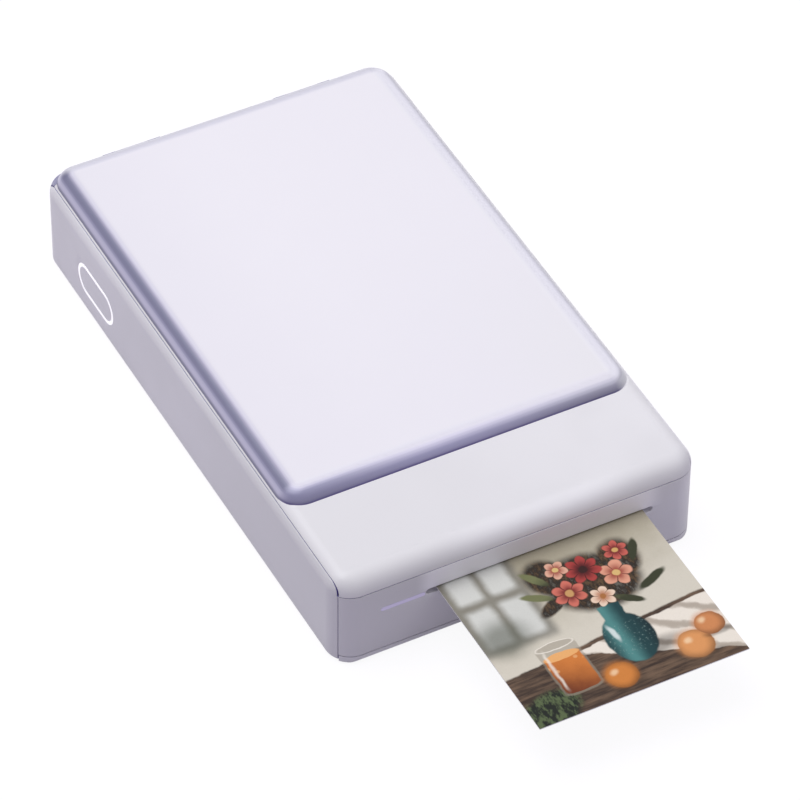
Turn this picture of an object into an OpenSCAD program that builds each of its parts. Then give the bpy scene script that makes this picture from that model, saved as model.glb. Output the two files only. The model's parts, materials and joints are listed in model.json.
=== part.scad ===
// Compact photo printer for 2 x 3 inch sheets.
// A flat box of six outer shells round a roller and gear chassis, with a paper
// bay under a hinged top cover. A finished sheet comes out of the front slot.
// Every module draws in the printer's own frame: x to the right, y from the
// front face to the back, z up from the table. in_place() then puts the origin
// at the centre of the footprint that the box and the sheet cover together.

/* [Body] */
// Width across the two side panels
body_w = 89; // [84:0.5:96]
// Length from the front face to the back face
body_l = 150; // [146:0.5:158]
// Height from the underside of the shell to the deck
body_h = 23.3; // [22.8:0.1:26]
// Radius of the vertical corners seen from above
corner_r = 6; // [5:0.25:8]
// Radius of the deck's front edge
nose_r = 5; // [4:0.25:5.5]
// Radius of the deck's rear edge
heel_r = 4; // [3:0.25:4.5]
// Radius of the shoulder along each side
edge_r = 4; // [3.5:0.25:4.5]
// Radius along the bottom edge
sole_r = 0.8; // [0.5:0.1:1.2]
// Wall of the outer shells
wall = 1.6; // [1.4:0.1:1.8]
// Open line between two outer shells
seam = 0.15; // [0.1:0.01:0.2]
// How far the seam on the deck lies in from the side face
rim_inset = 1.05; // [0.9:0.05:1.2]
// Height of the front seam above the underside
nose_seam_h = 19.8; // [19.4:0.1:20]
// Height of the bottom seam above the underside
sole_seam_h = 1.6; // [1.4:0.1:1.8]
// How far the vertical seams lie behind the front face and before the back
cheek_y = 2.4; // [2:0.1:4]

/* [Cover] */
// Depth of the fixed deck in front of the cover
fore_deck = 26.7; // [26:0.1:30]
// Gap between the side faces of the body and the cover
cover_side_inset = 1.3; // [1.1:0.05:1.6]
// Gap between the back face of the body and the cover
cover_back_inset = 1.2; // [1:0.05:1.6]
// Height of the cover above the deck
cover_rise = 2.6; // [2.4:0.1:3.2]
// Radius of the cover's corners seen from above
cover_corner_r = 5.6; // [5:0.1:7]
// Radius of the cover's pillow edge
cover_edge_r = 3.8; // [3.5:0.1:4.2]
// Wall of the cover
cover_wall = 1.2; // [1:0.1:1.3]
// Depth of the seat that the cover lies in
seat_depth = 0.8; // [0.6:0.05:1]
// Clearance between the cover and the body
cover_gap = 0.2; // [0.15:0.01:0.3]
// Thickness of the plate that closes the cover from below
liner_t = 1; // [0.8:0.1:1.1]
// Distance of the hinges from the middle
hinge_x = 22; // [16:1:30]
// Length of the cover's knuckle
knuckle_l = 8; // [6:0.5:10]
// Length of each of the body's knuckles
ear_l = 3; // [2:0.5:4]
// Radius of the hinge knuckles
knuckle_r = 0.95; // [0.9:0.01:1]
// Radius of the hinge pins
pin_r = 0.5; // [0.4:0.05:0.55]

/* [Sheet] */
// Width of a sheet
sheet_w = 50.8; // [48:0.1:52]
// Length of a sheet
sheet_l = 76.2; // [74:0.1:78]
// Thickness of a sheet
sheet_t = 0.28; // [0.2:0.01:0.32]
// How far the sheet stands out of the front face
sheet_out = 46.15; // [40:0.05:50]
// Height of the sheet's middle above the table
sheet_z = 14.67; // [14.5:0.01:14.9]
// Clearance between the sheet and each end of the exit slot
slot_end = 2.5; // [2.1:0.1:3]
// Height of the exit slot
slot_h = 1.6; // [1.4:0.1:2]
// Drop of the slot's middle below the sheet's middle
slot_drop = 0.27; // [0:0.01:0.4]
// Length of the status light
light_w = 10.8; // [9:0.1:11.4]
// Height of the status light
light_h = 1.1; // [0.8:0.1:1.3]

/* [Rollers and gears] */
// Radius of the platen roller
platen_r = 3.6; // [3.4:0.05:3.8]
// Distance of the platen's axis behind the front face
platen_y = 18; // [17.5:0.1:18.5]
// Running gap between a roller and the sheet
nip_gap = 0.05; // [0.03:0.01:0.08]
// Radius of the roller shafts
shaft_r = 1.5; // [1.3:0.1:1.7]
// Clearance between a shaft and its bush
run_gap = 0.05; // [0.03:0.01:0.08]
// Gear module
gear_m = 0.5; // [0.49:0.005:0.51]
// Teeth of the platen and pickup gears
roller_teeth = 20; // [20:1:20]
// Teeth of the transfer gear between them
transfer_teeth = 30; // [30:1:30]
// Teeth of the drive gear's large wheel
drive_teeth = 22; // [22:1:22]
// Teeth of the drive gear's pinion
pinion_teeth = 12; // [12:1:12]
// Teeth of the motor pinion
motor_teeth = 12; // [12:1:12]
// Radius of the feed motor
motor_r = 7.5; // [7:0.1:7.5]
// Length of the feed motor
motor_l = 9; // [7:0.1:9]
// Clearance between the feed motor and the side wall
motor_gap = 0.55; // [0.4:0.05:0.8]

/* [Button] */
// Length of the white ring round the power button
ring_l = 18.6; // [16:0.1:19]
// Height of the ring
ring_h = 8.7; // [7.5:0.1:9]
// Width of the ring's stroke
ring_t = 0.85; // [0.6:0.05:1]
// Distance of the button's middle behind the front face
button_y = 121.5; // [119:0.5:123]
// Height of the button's middle above the table
button_z = 10; // [9.6:0.1:10.4]
// Travel of the button
button_travel = 0.4; // [0.3:0.05:0.5]
// Clearance round the button
button_gap = 0.12; // [0.08:0.01:0.2]

/* [Feet and screws] */
// How far the feet stand out below the shell
foot_proud = 0.6; // [0.4:0.1:1]
// Radius of a foot
foot_r = 4; // [3:0.25:5]
// Depth of a foot's recess
foot_sunk = 0.6; // [0.4:0.05:0.8]
// Radius of the case screws
screw_r = 1; // [0.8:0.05:1.1]
// Radius of a case boss
boss_r = 2.6; // [2.4:0.1:2.8]

/* [Hidden] */
$fn = 64;

// Colours
shell_colour = [0.89, 0.88, 0.93];
panel_colour = [0.77, 0.76, 0.83];
pearl_colour = [0.86, 0.85, 0.95];
dark_colour = [0.22, 0.22, 0.25];
steel_colour = [0.72, 0.73, 0.76];
gear_colour = [0.93, 0.93, 0.9];

// Levels and planes of the shells
half_w = body_w / 2;
sole_z = foot_proud;
deck_z = sole_z + body_h;
floor_z = sole_z + wall;
nose_seam_z = sole_z + nose_seam_h;
sole_seam_z = sole_z + sole_seam_h;
cheek_x = half_w - wall;
shoulder_x = half_w - edge_r;
shoulder_z = deck_z - edge_r;
rim_angle = acos(1 - rim_inset / edge_r);
rim_skin = 0.7;
tub_t = 1.2;
tub_x = cheek_x - seam;

// The cover and its seat
seat_z = deck_z - seat_depth;
seat_under_z = seat_z - wall;
cover_z = seat_z + cover_gap;
cover_top_z = deck_z + cover_rise;
cover_w = body_w - 2 * cover_side_inset;
cover_y0 = fore_deck;
cover_y1 = body_l - cover_back_inset;
cover_l = cover_y1 - cover_y0;
liner_z = cover_z + 0.1;
liner_inset = cover_wall + 0.85;
hinge_back = 0.6;
hinge_y = cover_y1 - hinge_back;
hinge_z = cover_z + 0.4;
shelf_z = hinge_z - knuckle_r - 0.15;
shelf_y = hinge_y - knuckle_r - 0.25;
hinge_sides = [-1, 1];
magnet_r = 2.4;
magnet_t = 1;
magnet_x = cover_w / 2 - 7.2;
magnet_y = cover_y0 + 5.4;

// Across the left side, from the wall to the paper path: motor, bracket, the
// outer and inner gears, the chassis plate and the paper's side clearance
plate_t = 1.2;
plate_gap = 2.8;
bracket_t = 0.8;
gear_gap = 0.4;
gear_w = 2.8;
outer_gear_w = 2.6;
motor_x0 = motor_gap + tub_t - tub_x;
bracket_x0 = motor_x0 + motor_l;
bracket_behind = 10;
bracket_corner_r = 3;
bracket_foot_w = 4;
bracket_foot_y = 5;
bracket_x1 = bracket_x0 + bracket_t;
outer_gear_x0 = bracket_x1 + gear_gap;
outer_gear_x1 = outer_gear_x0 + outer_gear_w;
inner_gear_x0 = outer_gear_x1 + gear_gap;
inner_gear_x1 = inner_gear_x0 + gear_w;
plate_x0 = inner_gear_x1 + gear_gap + plate_t;

// The paper path
path_x0 = plate_x0 + plate_gap;
path_x1 = path_x0 + sheet_w;
plate_x1 = path_x1 + plate_gap - 0.1;
sheet_x = path_x0 + sheet_w / 2;
sheet_z0 = sheet_z - sheet_t / 2;
sheet_z1 = sheet_z + sheet_t / 2;
slot_w = sheet_w + 2 * slot_end;
slot_z = sheet_z - slot_drop;
slot_x = sheet_x - 0.1;
light_gap = 0.2;
light_x = slot_x - slot_w / 2 - light_gap - light_w / 2;
light_d = 2.6;
light_z = slot_z - 0.2;

// The paper bay and its tray
bay_gap = 0.5;
bay_w = sheet_w + 2 * bay_gap;
bay_l = sheet_l + 2 * bay_gap + 0.2;
bay_y0 = 36;
bay_y1 = bay_y0 + bay_l;
tray_t = 1.2;
tray_floor_z = sheet_z0 - 0.23;
tray_floor_t = 1;
flange_w = 3;
flange_t = 1.2;

// The chassis and what turns in it
plate_top = 19.8;
chassis_y0 = 4.6;
chassis_y1 = 48.4;
roller_z = sheet_z0 - nip_gap - platen_r;
roller_pitch_r = gear_m * roller_teeth / 2;
transfer_pitch_r = gear_m * transfer_teeth / 2;
transfer_y = platen_y + roller_pitch_r + transfer_pitch_r;
pickup_y = transfer_y + transfer_pitch_r + roller_pitch_r;
drive_angle = 196;
drive_reach = gear_m * (roller_teeth + pinion_teeth) / 2;
drive_y = platen_y + drive_reach * cos(drive_angle);
drive_z = roller_z + drive_reach * sin(drive_angle);
motor_angle = 25;
motor_reach = gear_m * (drive_teeth + motor_teeth) / 2;
motor_y = drive_y + motor_reach * cos(motor_angle);
motor_z = drive_z + motor_reach * sin(motor_angle);
gear_pin_r = 1;
bush_r = 2.5;
spacer_r = 1.2;
spacers = [[platen_y + 6.5, roller_z + 7.9], [chassis_y0 + 1.6, roller_z + 6.8]];

// Gear phases: each gear starts in mesh with the one before it
platen_phase = 0;
transfer_phase = mesh(0, platen_phase, roller_teeth, transfer_teeth);
pickup_phase = mesh(0, transfer_phase, transfer_teeth, roller_teeth);
drive_phase = mesh(drive_angle, platen_phase, roller_teeth, pinion_teeth);
motor_phase = mesh(motor_angle, drive_phase, drive_teeth, motor_teeth);

// The print head
head_w = sheet_w + 1.8;
head_z = sheet_z1 + nip_gap;
ceramic_t = 0.8;
ceramic_ahead = 4;
ceramic_behind = 6;
sink_t = 1.8;
head_bracket_t = 0.8;
sink_z = head_z + ceramic_t;
bracket_z = sink_z + sink_t;
head_ahead = 7;
head_behind = 9;
head_y0 = platen_y - head_ahead;
head_y1 = platen_y + head_behind;
pivot_y = head_y1 + 1.5;
pivot_z = sheet_z1 + 2.2;
pivot_r = 1;
fin_pitch = 5;
fin_slot = 2.4;
fin_slot_l = 3;
head_ear_l = 4.6;
ear_y1 = pivot_y + 2.4;
ear_t = 0.8;
ear_gap = 0.2;

// Electronics
board_x0 = 0.4 + tub_t - tub_x;
board_x1 = plate_x0 - 0.6;
board_y0 = chassis_y1 + 2.6;
board_y1 = body_l - 12;
board_half = half_w - 10.5;
board_rear_y0 = body_l - 24;
board_t = 1.2;
board_z = floor_z + 2.8;
board_top = board_z + board_t;
battery = [48, 52, 7.5];
battery_r = 2.5;
battery_y = 56;
usb_w = 8.9;
usb_h = 3.2;
usb_l = 7.3;
usb_z = board_top + usb_h / 2;
switch_x = -tub_x + tub_t + 0.5;

// Screws and feet
boss_x = half_w - 6;
boss_y = 5.9;
boss_split_z = 12;
boss_places = [[-boss_x, boss_y], [boss_x, boss_y],
    [-boss_x, body_l - boss_y], [boss_x, body_l - boss_y]];
foot_x = half_w - 11;
foot_y = 15;
foot_places = [[-foot_x, foot_y], [foot_x, foot_y],
    [-foot_x, body_l - foot_y], [foot_x, body_l - foot_y]];

function mesh(direction, phase, teeth, next_teeth) =
    direction + 180 - (0.5 - (direction - phase) * teeth / 360) * 360 / next_teeth;

// Involute tooth: half its angle at radius r
function involute(base, r) = let (a = acos(min(1, base / r))) tan(a) * 180 / PI - a;
function tooth_half(teeth, r) = let (pitch = gear_m * teeth / 2, base = pitch * cos(20))
    90 / teeth - gear_backlash / pitch * 90 / PI + involute(base, pitch) - involute(base, max(base, r));
gear_backlash = 0.06;
gear_addendum = 0.85;
gear_dedendum = 1.3;

module in_place() translate([0, (sheet_out - body_l) / 2, 0]) children();

// Turns a drawing from the x-y plane into the y-z plane, extruded along +x
module along_x(x, y, z) translate([x, y, z]) rotate([90, 0, 90]) children();
module rod_x(x0, x1, y, z, r) along_x(x0, y, z) cylinder(h = x1 - x0, r = r);
module tube_x(x0, x1, y, z, r, bore) along_x(x0, y, z) difference() {
    cylinder(h = x1 - x0, r = r);
    translate([0, 0, -1]) cylinder(h = x1 - x0 + 2, r = bore);
}
module box(x0, x1, y0, y1, z0, z1) translate([x0, y0, z0]) cube([x1 - x0, y1 - y0, z1 - z0]);
module post(place, z0, z1, r) translate([place[0], place[1], z0]) cylinder(h = z1 - z0, r = r);

// Flat outline with four corner radii, anticlockwise from the lower left
module outline(x0, x1, y0, y1, r) {
    polygon([[x0 + r[0], y0], [x1 - r[1], y0], [x1, y0 + r[1]], [x1, y1 - r[2]],
        [x1 - r[2], y1], [x0 + r[3], y1], [x0, y1 - r[3]], [x0, y0 + r[0]]]);
    translate([x0 + r[0], y0 + r[0]]) circle(r[0]);
    translate([x1 - r[1], y0 + r[1]]) circle(r[1]);
    translate([x1 - r[2], y1 - r[2]]) circle(r[2]);
    translate([x0 + r[3], y1 - r[3]]) circle(r[3]);
}
module slab(x0, x1, y0, y1, z0, z1, r) translate([0, 0, z0])
    linear_extrude(z1 - z0) outline(x0, x1, y0, y1, [r, r, r, r]);
module stadium_x(x0, x1, y, z, length, height) along_x(x0, y, z) linear_extrude(x1 - x0) {
    square([length - height, height], center = true);
    for (end = [-1, 1]) translate([end * (length - height) / 2, 0]) circle(height / 2);
}
module stadium_y(x, y0, y1, z, length, height) translate([x, y1, z]) rotate([90, 0, 0])
    linear_extrude(y1 - y0) {
        square([length - height, height], center = true);
        for (end = [-1, 1]) translate([end * (length - height) / 2, 0]) circle(height / 2);
    }

// The closed form of the whole body, drawn in by inset: plan, side and cross
// outlines meet in it
module envelope(inset = 0) intersection() {
    slab(inset - half_w, half_w - inset, inset, body_l - inset, sole_z, deck_z, corner_r - inset);
    along_x(-half_w, 0, 0) linear_extrude(body_w)
        outline(inset, body_l - inset, sole_z + inset, deck_z - inset,
            [soft(sole_r, inset), soft(sole_r, inset), soft(heel_r, inset), nose_r - inset]);
    translate([0, body_l, 0]) rotate([90, 0, 0]) linear_extrude(body_l)
        outline(inset - half_w, half_w - inset, sole_z + inset, deck_z - inset,
            [soft(sole_r, inset), soft(sole_r, inset), soft(edge_r, inset), soft(edge_r, inset)]);
}
function soft(r, inset) = max(r - inset, 0.3);

// The space of a side panel: full wall below the nose seam, above it a thin skin
// on the shoulder that ends in a seam square to the surface
module cheek_zone(side, grow) mirror([side < 0 ? 1 : 0, 0, 0]) {
    box(cheek_x - grow, half_w + 1, cheek_y - grow, body_l - cheek_y + grow,
        sole_z - 1, nose_seam_z + grow);
    translate([shoulder_x, body_l - cheek_y + grow, shoulder_z]) rotate([90, 0, 0])
        linear_extrude(body_l - 2 * cheek_y + 2 * grow)
            skin_zone(nose_seam_z - 0.1 - shoulder_z, grow);
}
module skin_zone(low, grow) difference() {
    x0 = 0.6 * edge_r;
    x1 = edge_r + 1;
    lift = grow / cos(rim_angle);
    polygon([[x0, low], [x1, low], [x1, x1 * tan(rim_angle) + lift],
        [x0, x0 * tan(rim_angle) + lift]]);
    circle(edge_r - rim_skin - grow);
}
module both_cheeks(grow) for (side = [-1, 1]) cheek_zone(side, grow);

module side_panel(side) difference() {
    union() {
        intersection() {
            envelope();
            cheek_zone(side, 0);
        }
        // snap tabs that reach through the tub's windows
        for (y = snap_places) mirror([side < 0 ? 1 : 0, 0, 0]) {
            box(cheek_x - tub_t - 0.5, cheek_x + 0.2, y - 2, y + 2, snap_z, snap_z + 1);
            box(cheek_x - tub_t - 0.5, cheek_x - tub_t - 0.25, y - 2, y + 2, snap_z, snap_z + 1.5);
        }
    }
}
snap_end = 12;
snap_first = 32;
snap_places = [for (i = [0 : 3]) snap_first + i * (body_l - snap_end - snap_first) / 3];
snap_z = 16;

module left_side_panel() in_place() color(panel_colour) difference() {
    side_panel(-1);
    stadium_x(-half_w - 1, -cheek_x + 1, button_y, button_z, ring_l, ring_h);
}
module right_side_panel() in_place() color(panel_colour) side_panel(1);

module end_wall(y0, y1) difference() {
    intersection() {
        difference() {
            envelope();
            envelope(wall);
        }
        box(-half_w, half_w, y0, y1, sole_seam_z + seam, nose_seam_z - seam);
    }
    both_cheeks(seam);
}

module front_panel() in_place() color(panel_colour) difference() {
    end_wall(-1, cheek_y + 1.5);
    stadium_y(slot_x, -1, wall + 1, slot_z, slot_w, slot_h);
    stadium_y(light_x, -1, wall + 1, light_z, light_w, light_h);
}

module rear_panel() in_place() color(panel_colour) difference() {
    end_wall(body_l - cheek_y - 1.5, body_l + 1);
    stadium_y(0, body_l - wall - 1, body_l + 1, usb_z, usb_w + 0.6, usb_h + 0.6);
    // reset hole beside the socket
    translate([12, body_l + 1, usb_z]) rotate([90, 0, 0]) cylinder(h = wall + 2, r = 0.6);
}

module top_deck() in_place() color(shell_colour) {
    deck_plate();
    hinge_ears();
}
module deck_plate() difference() {
    union() {
        difference() {
            intersection() {
                envelope();
                box(-half_w, half_w, -1, body_l + 1, nose_seam_z, deck_z + 1);
            }
            envelope(wall);
        }
        // plate that carries the cover
        intersection() {
            envelope();
            box(-half_w, half_w, cover_y0 - 2, body_l, seat_under_z, deck_z - 0.5);
        }
        for (place = boss_places) post(place, boss_split_z + 0.1, deck_z - wall, boss_r - 0.2);
    }
    both_cheeks(seam);
    // seat of the cover, open at the back
    slab(-cover_w / 2 - cover_gap, cover_w / 2 + cover_gap, cover_y0 - cover_gap, body_l + 10,
        seat_z, deck_z + 1, cover_corner_r + cover_gap);
    // lower shelf under the hinge line
    box(-half_w, half_w, shelf_y, body_l + 1, shelf_z, deck_z + 1);
    // mouth of the paper bay with a thumb recess behind it
    slab(sheet_x - bay_w / 2, sheet_x + bay_w / 2, bay_y0, bay_y1, seat_under_z - 1, deck_z + 1, 0.8);
    translate([sheet_x, bay_y1, seat_under_z - 1]) cylinder(h = wall + 3, r = 8);
    for (side = hinge_sides) {
        post([side * magnet_x, magnet_y], seat_under_z - 1, seat_under_z + 1.1, magnet_r + 0.1);
    }
    for (place = boss_places) post(place, boss_split_z - 1, deck_z - wall - 0.6, screw_r + run_gap);
    for (place = tray_screw_places) post(place, seat_under_z - 1, seat_under_z + 1.1, 0.8 + run_gap);
}

// Ears of the deck that hold the hinge pins
module hinge_ears() for (side = hinge_sides) for (end = [-1, 1]) {
    x = side * hinge_x + end * (knuckle_l / 2 + 0.2 + ear_l / 2);
    difference() {
        union() {
            rod_x(x - ear_l / 2, x + ear_l / 2, hinge_y, hinge_z, knuckle_r);
            box(x - ear_l / 2, x + ear_l / 2, hinge_y - 0.6, hinge_y + 0.6, shelf_z - 0.3, hinge_z);
        }
        rod_x(x - ear_l, x + ear_l, hinge_y, hinge_z, pin_r + run_gap);
    }
}

module bottom_shell() in_place() color(shell_colour) difference() {
    union() {
        difference() {
            intersection() {
                envelope();
                box(-half_w, half_w, -1, body_l + 1, sole_z - 1, sole_seam_z);
            }
            both_cheeks(seam);
        }
        // side walls behind the side panels
        for (side = hinge_sides) mirror([side < 0 ? 1 : 0, 0, 0])
            box(tub_x - tub_t, tub_x, 8.8, body_l - 8.8, floor_z - 0.2, nose_seam_z - 0.2);
        // ribs that locate the end panels
        for (y = [wall + 0.15, body_l - wall - 1.15])
            box(-boss_x + 4, boss_x - 4, y, y + 1, floor_z - 0.2, floor_z + 2.2);
        for (place = boss_places) post(place, floor_z - 0.2, boss_split_z, boss_r);
        for (place = board_places) post(place, floor_z - 0.2, board_z, 1.9);
        // battery fence
        difference() {
            battery_slab(1.3, floor_z - 0.2, floor_z + 3);
            battery_slab(0.3, floor_z - 1, floor_z + 4);
        }
    }
    for (place = boss_places) {
        post(place, sole_z - 1, boss_split_z + 1, screw_r + 0.15);
        post(place, sole_z - 1, floor_z - 0.3, 2.1);
    }
    for (place = foot_places) post(place, sole_z - 1, sole_z + foot_sunk, foot_r + 0.1);
    for (place = board_places) post(place, sole_z + 0.8, board_z + 1, 0.8 + run_gap);
    for (place = chassis_screw_places) post(place, sole_z + 0.6, floor_z + 1, screw_r + run_gap);
    // opening for the power button in the left wall
    box(-half_w, -tub_x + tub_t + 1, button_y - 10, button_y + 10, floor_z + 1.6, nose_seam_z - 4);
    for (y = snap_places) for (side = hinge_sides) {
        translate([side * (tub_x - tub_t / 2), y, 0]) box(-2, 2, -2.2, 2.2, snap_z - 0.2, snap_z + 1.8);
    }
}
board_places = [[board_x0 + 10.6, board_y0 + 5], [board_x0 + 10.6, body_l - 46],
    [-board_half + 6, body_l - 8], [board_half - 6, body_l - 8]];
chassis_screw_places = [[plate_x0 + 4, chassis_y0 + 7], [plate_x1 - 4, chassis_y0 + 7],
    [plate_x0 + 4, chassis_y1 - 12], [plate_x1 - 4, chassis_y1 - 12]];
tray_screw_places = [for (x = [-1, 1]) for (y = [bay_y0 - tray_t - 1.5, bay_y1 + tray_t + 1.5])
    [sheet_x + x * (bay_w / 2 - 6), y]];

module rubber_feet() in_place() color(dark_colour)
    for (place = foot_places) post(place, 0, sole_z + foot_sunk, foot_r);

module case_screws() in_place() color(steel_colour) for (place = boss_places) difference() {
    union() {
        post(place, floor_z - 1.3, floor_z - 0.3, 1.9);
        post(place, floor_z - 0.4, boss_split_z + 5, screw_r);
    }
    // six-lobed socket
    post(place, floor_z - 2, floor_z - 0.8, 0.7);
}

// A plate with a pillow edge: a quarter round of radius edge swept round a
// rounded rectangle, flat at z0
module pillow_profile(half, edge, z0, z1) intersection() {
    union() {
        translate([0, z0]) square([half - edge, z1 - z0]);
        translate([half - edge, z1 - edge]) circle(edge);
    }
    translate([0, z0]) square([half, z1 - z0]);
}
module pillow(x0, x1, y0, y1, z0, z1, r, edge) {
    translate([0, y1 - r, 0]) rotate([90, 0, 0]) linear_extrude(y1 - y0 - 2 * r)
        for (m = [0, 1]) translate([(x0 + x1) / 2, 0]) mirror([m, 0])
            pillow_profile((x1 - x0) / 2, edge, z0, z1);
    along_x(x0 + r, 0, 0) linear_extrude(x1 - x0 - 2 * r)
        for (m = [0, 1]) translate([(y0 + y1) / 2, 0]) mirror([m, 0])
            pillow_profile((y1 - y0) / 2, edge, z0, z1);
    for (x = [x0 + r, x1 - r]) for (y = [y0 + r, y1 - r])
        translate([x, y, 0]) rotate_extrude() pillow_profile(r, edge, z0, z1);
}
module cover_form(inset, z0) pillow(inset - cover_w / 2, cover_w / 2 - inset, cover_y0 + inset,
    cover_y1 - inset, z0, cover_top_z - inset, cover_corner_r - inset, cover_edge_r - inset);

module cover_shell() in_place() color(pearl_colour) difference() {
    union() {
        difference() {
            cover_form(0, cover_z);
            cover_form(cover_wall, cover_z - 1);
        }
        // stiffening ribs and posts above the liner
        for (x = [-24, -8, 8, 24]) box(x - 0.4, x + 0.4, cover_y0 + 2, cover_y1 - 2,
            liner_z + liner_t, cover_top_z - cover_wall + 0.2);
        for (place = liner_screw_places) post(place, liner_z + liner_t, cover_top_z - 0.8, 1.6);
        for (side = hinge_sides) post([side * magnet_x, magnet_y], liner_z + magnet_t,
            cover_top_z - 0.8, 2.8);
        // knuckles
        for (side = hinge_sides) rod_x(side * hinge_x - knuckle_l / 2, side * hinge_x + knuckle_l / 2,
            hinge_y, hinge_z, knuckle_r);
    }
    for (side = hinge_sides) {
        rod_x(side * hinge_x - knuckle_l, side * hinge_x + knuckle_l, hinge_y, hinge_z,
            pin_r + run_gap);
        // room for the deck's ears
        for (end = [-1, 1]) {
            x = side * hinge_x + end * (knuckle_l / 2 + 0.2 + ear_l / 2);
            rod_x(x - ear_l / 2 - 0.2, x + ear_l / 2 + 0.2, hinge_y, hinge_z, knuckle_r + 0.25);
            box(x - ear_l / 2 - 0.2, x + ear_l / 2 + 0.2, hinge_y - knuckle_r - 0.25,
                cover_y1 + 1, cover_z - 1, hinge_z);
        }
    }
    for (place = liner_screw_places) post(place, liner_z, liner_z + liner_t + 0.9, 0.6 + run_gap);
}
liner_screw_places = [for (x = [-1, 1]) for (y = [cover_y0 + 12, cover_y1 - 12])
    [x * (cover_w / 2 - 11.2), y]];

module cover_liner() in_place() color(shell_colour) difference() {
    union() {
        slab(-cover_w / 2 + liner_inset, cover_w / 2 - liner_inset,
            cover_y0 + liner_inset, shelf_y - 0.6, liner_z, liner_z + liner_t, 3.4);
        // pad that reaches into the paper bay
        slab(sheet_x - 23, sheet_x + 23, bay_y0 + 5, bay_y1 - 11, pad_z, liner_z + 0.2, 2);
    }
    for (side = hinge_sides) post([side * magnet_x, magnet_y], liner_z - 1, liner_z + liner_t + 1,
        magnet_r + run_gap);
    for (place = liner_screw_places) {
        post(place, liner_z - 1, liner_z + liner_t + 1, 0.6 + run_gap);
        post(place, liner_z - 1, liner_z + 0.5, 1.25);
    }
}
pad_z = seat_under_z + 0.4;

module liner_screws() in_place() color(steel_colour) for (place = liner_screw_places) {
    post(place, liner_z + 0.05, liner_z + 0.5, 1.2);
    post(place, liner_z + 0.4, liner_z + liner_t + 0.8, 0.6);
}

module cover_magnets() in_place() color(steel_colour) for (side = hinge_sides)
    post([side * magnet_x, magnet_y], liner_z, liner_z + magnet_t, magnet_r);

module deck_magnets() in_place() color(steel_colour) for (side = hinge_sides)
    post([side * magnet_x, magnet_y], seat_under_z + 0.1, seat_under_z + 1.1, magnet_r);

// Bowed leaf springs under the cover's pad: arcs of strip with a tongue each side
leaf_l = 24;
leaf_w = 8;
leaf_sag = 1.5;
leaf_t = 0.25;
leaf_reach_x = 11;
leaf_front = 20;
leaf_step = 30;
leaf_r = (leaf_l * leaf_l / 4 + leaf_sag * leaf_sag) / (2 * leaf_sag);
module leaf(x, y, w) intersection() {
    tube_x(x - w / 2, x + w / 2, y, pad_z - leaf_sag + leaf_r, leaf_r, leaf_r - leaf_t, $fn = 720);
    box(x - w / 2, x + w / 2, y - leaf_l / 2, y + leaf_l / 2, pad_z - leaf_sag - 1, pad_z);
}
module paper_springs() in_place() color(steel_colour)
    for (x = [-leaf_reach_x, leaf_reach_x]) for (y = [0, leaf_step])
        leaf(sheet_x + x, bay_y0 + leaf_front + y, leaf_w);

module hinge_pins() in_place() color(steel_colour) for (side = hinge_sides)
    rod_x(side * hinge_x - knuckle_l / 2 - ear_l, side * hinge_x + knuckle_l / 2 + ear_l,
        hinge_y, hinge_z, pin_r);

module paper_tray() in_place() color(dark_colour) difference() {
    union() {
        slab(sheet_x - bay_w / 2 - tray_t, sheet_x + bay_w / 2 + tray_t, bay_y0 - tray_t,
            bay_y1 + tray_t, tray_floor_z - tray_floor_t, seat_under_z, 1.6);
        slab(sheet_x - bay_w / 2 - tray_t - 1, sheet_x + bay_w / 2 + tray_t + 1,
            bay_y0 - tray_t - flange_w, bay_y1 + tray_t + flange_w,
            seat_under_z - flange_t, seat_under_z, 2);
    }
    slab(sheet_x - bay_w / 2, sheet_x + bay_w / 2, bay_y0, bay_y1, tray_floor_z, seat_under_z + 1, 0.8);
    // exit of the lowest sheet
    box(sheet_x - bay_w / 2 + 0.2, sheet_x + bay_w / 2 - 0.2, bay_y0 - tray_t - 1, bay_y0 + 1,
        tray_floor_z, tray_floor_z + 1.8);
    // windows of the pickup tyres
    for (x = tyre_places) box(x - tyre_w / 2 - 0.6, x + tyre_w / 2 + 0.6, pickup_y - 4.5,
        pickup_y + 4.5, tray_floor_z - tray_floor_t - 1, tray_floor_z + 1);
    // pocket of the separation pad
    box(sheet_x - 4.1, sheet_x + 4.1, bay_y0 + 0.5, pickup_y + 3.6, tray_floor_z - 0.6, tray_floor_z + 1);
    // thumb recess
    translate([sheet_x, bay_y1, tray_floor_z + 1.5]) cylinder(h = 20, r = 8);
    for (place = tray_screw_places) post(place, seat_under_z - flange_t - 1, seat_under_z + 1,
        0.8 + run_gap);
}
tyre_w = 8;
tyre_places = [sheet_x - 13, sheet_x + 13];

module tray_screws() in_place() color(steel_colour) for (place = tray_screw_places) {
    post(place, seat_under_z - flange_t - 0.9, seat_under_z - flange_t, 1.5);
    post(place, seat_under_z - flange_t - 0.1, seat_under_z + 1, 0.8);
}

module separation_pad() in_place() color([0.55, 0.4, 0.28])
    box(sheet_x - 4, sheet_x + 4, bay_y0 + 0.6, pickup_y + 3.5, tray_floor_z - 0.6, tray_floor_z + 0.1);

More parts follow.
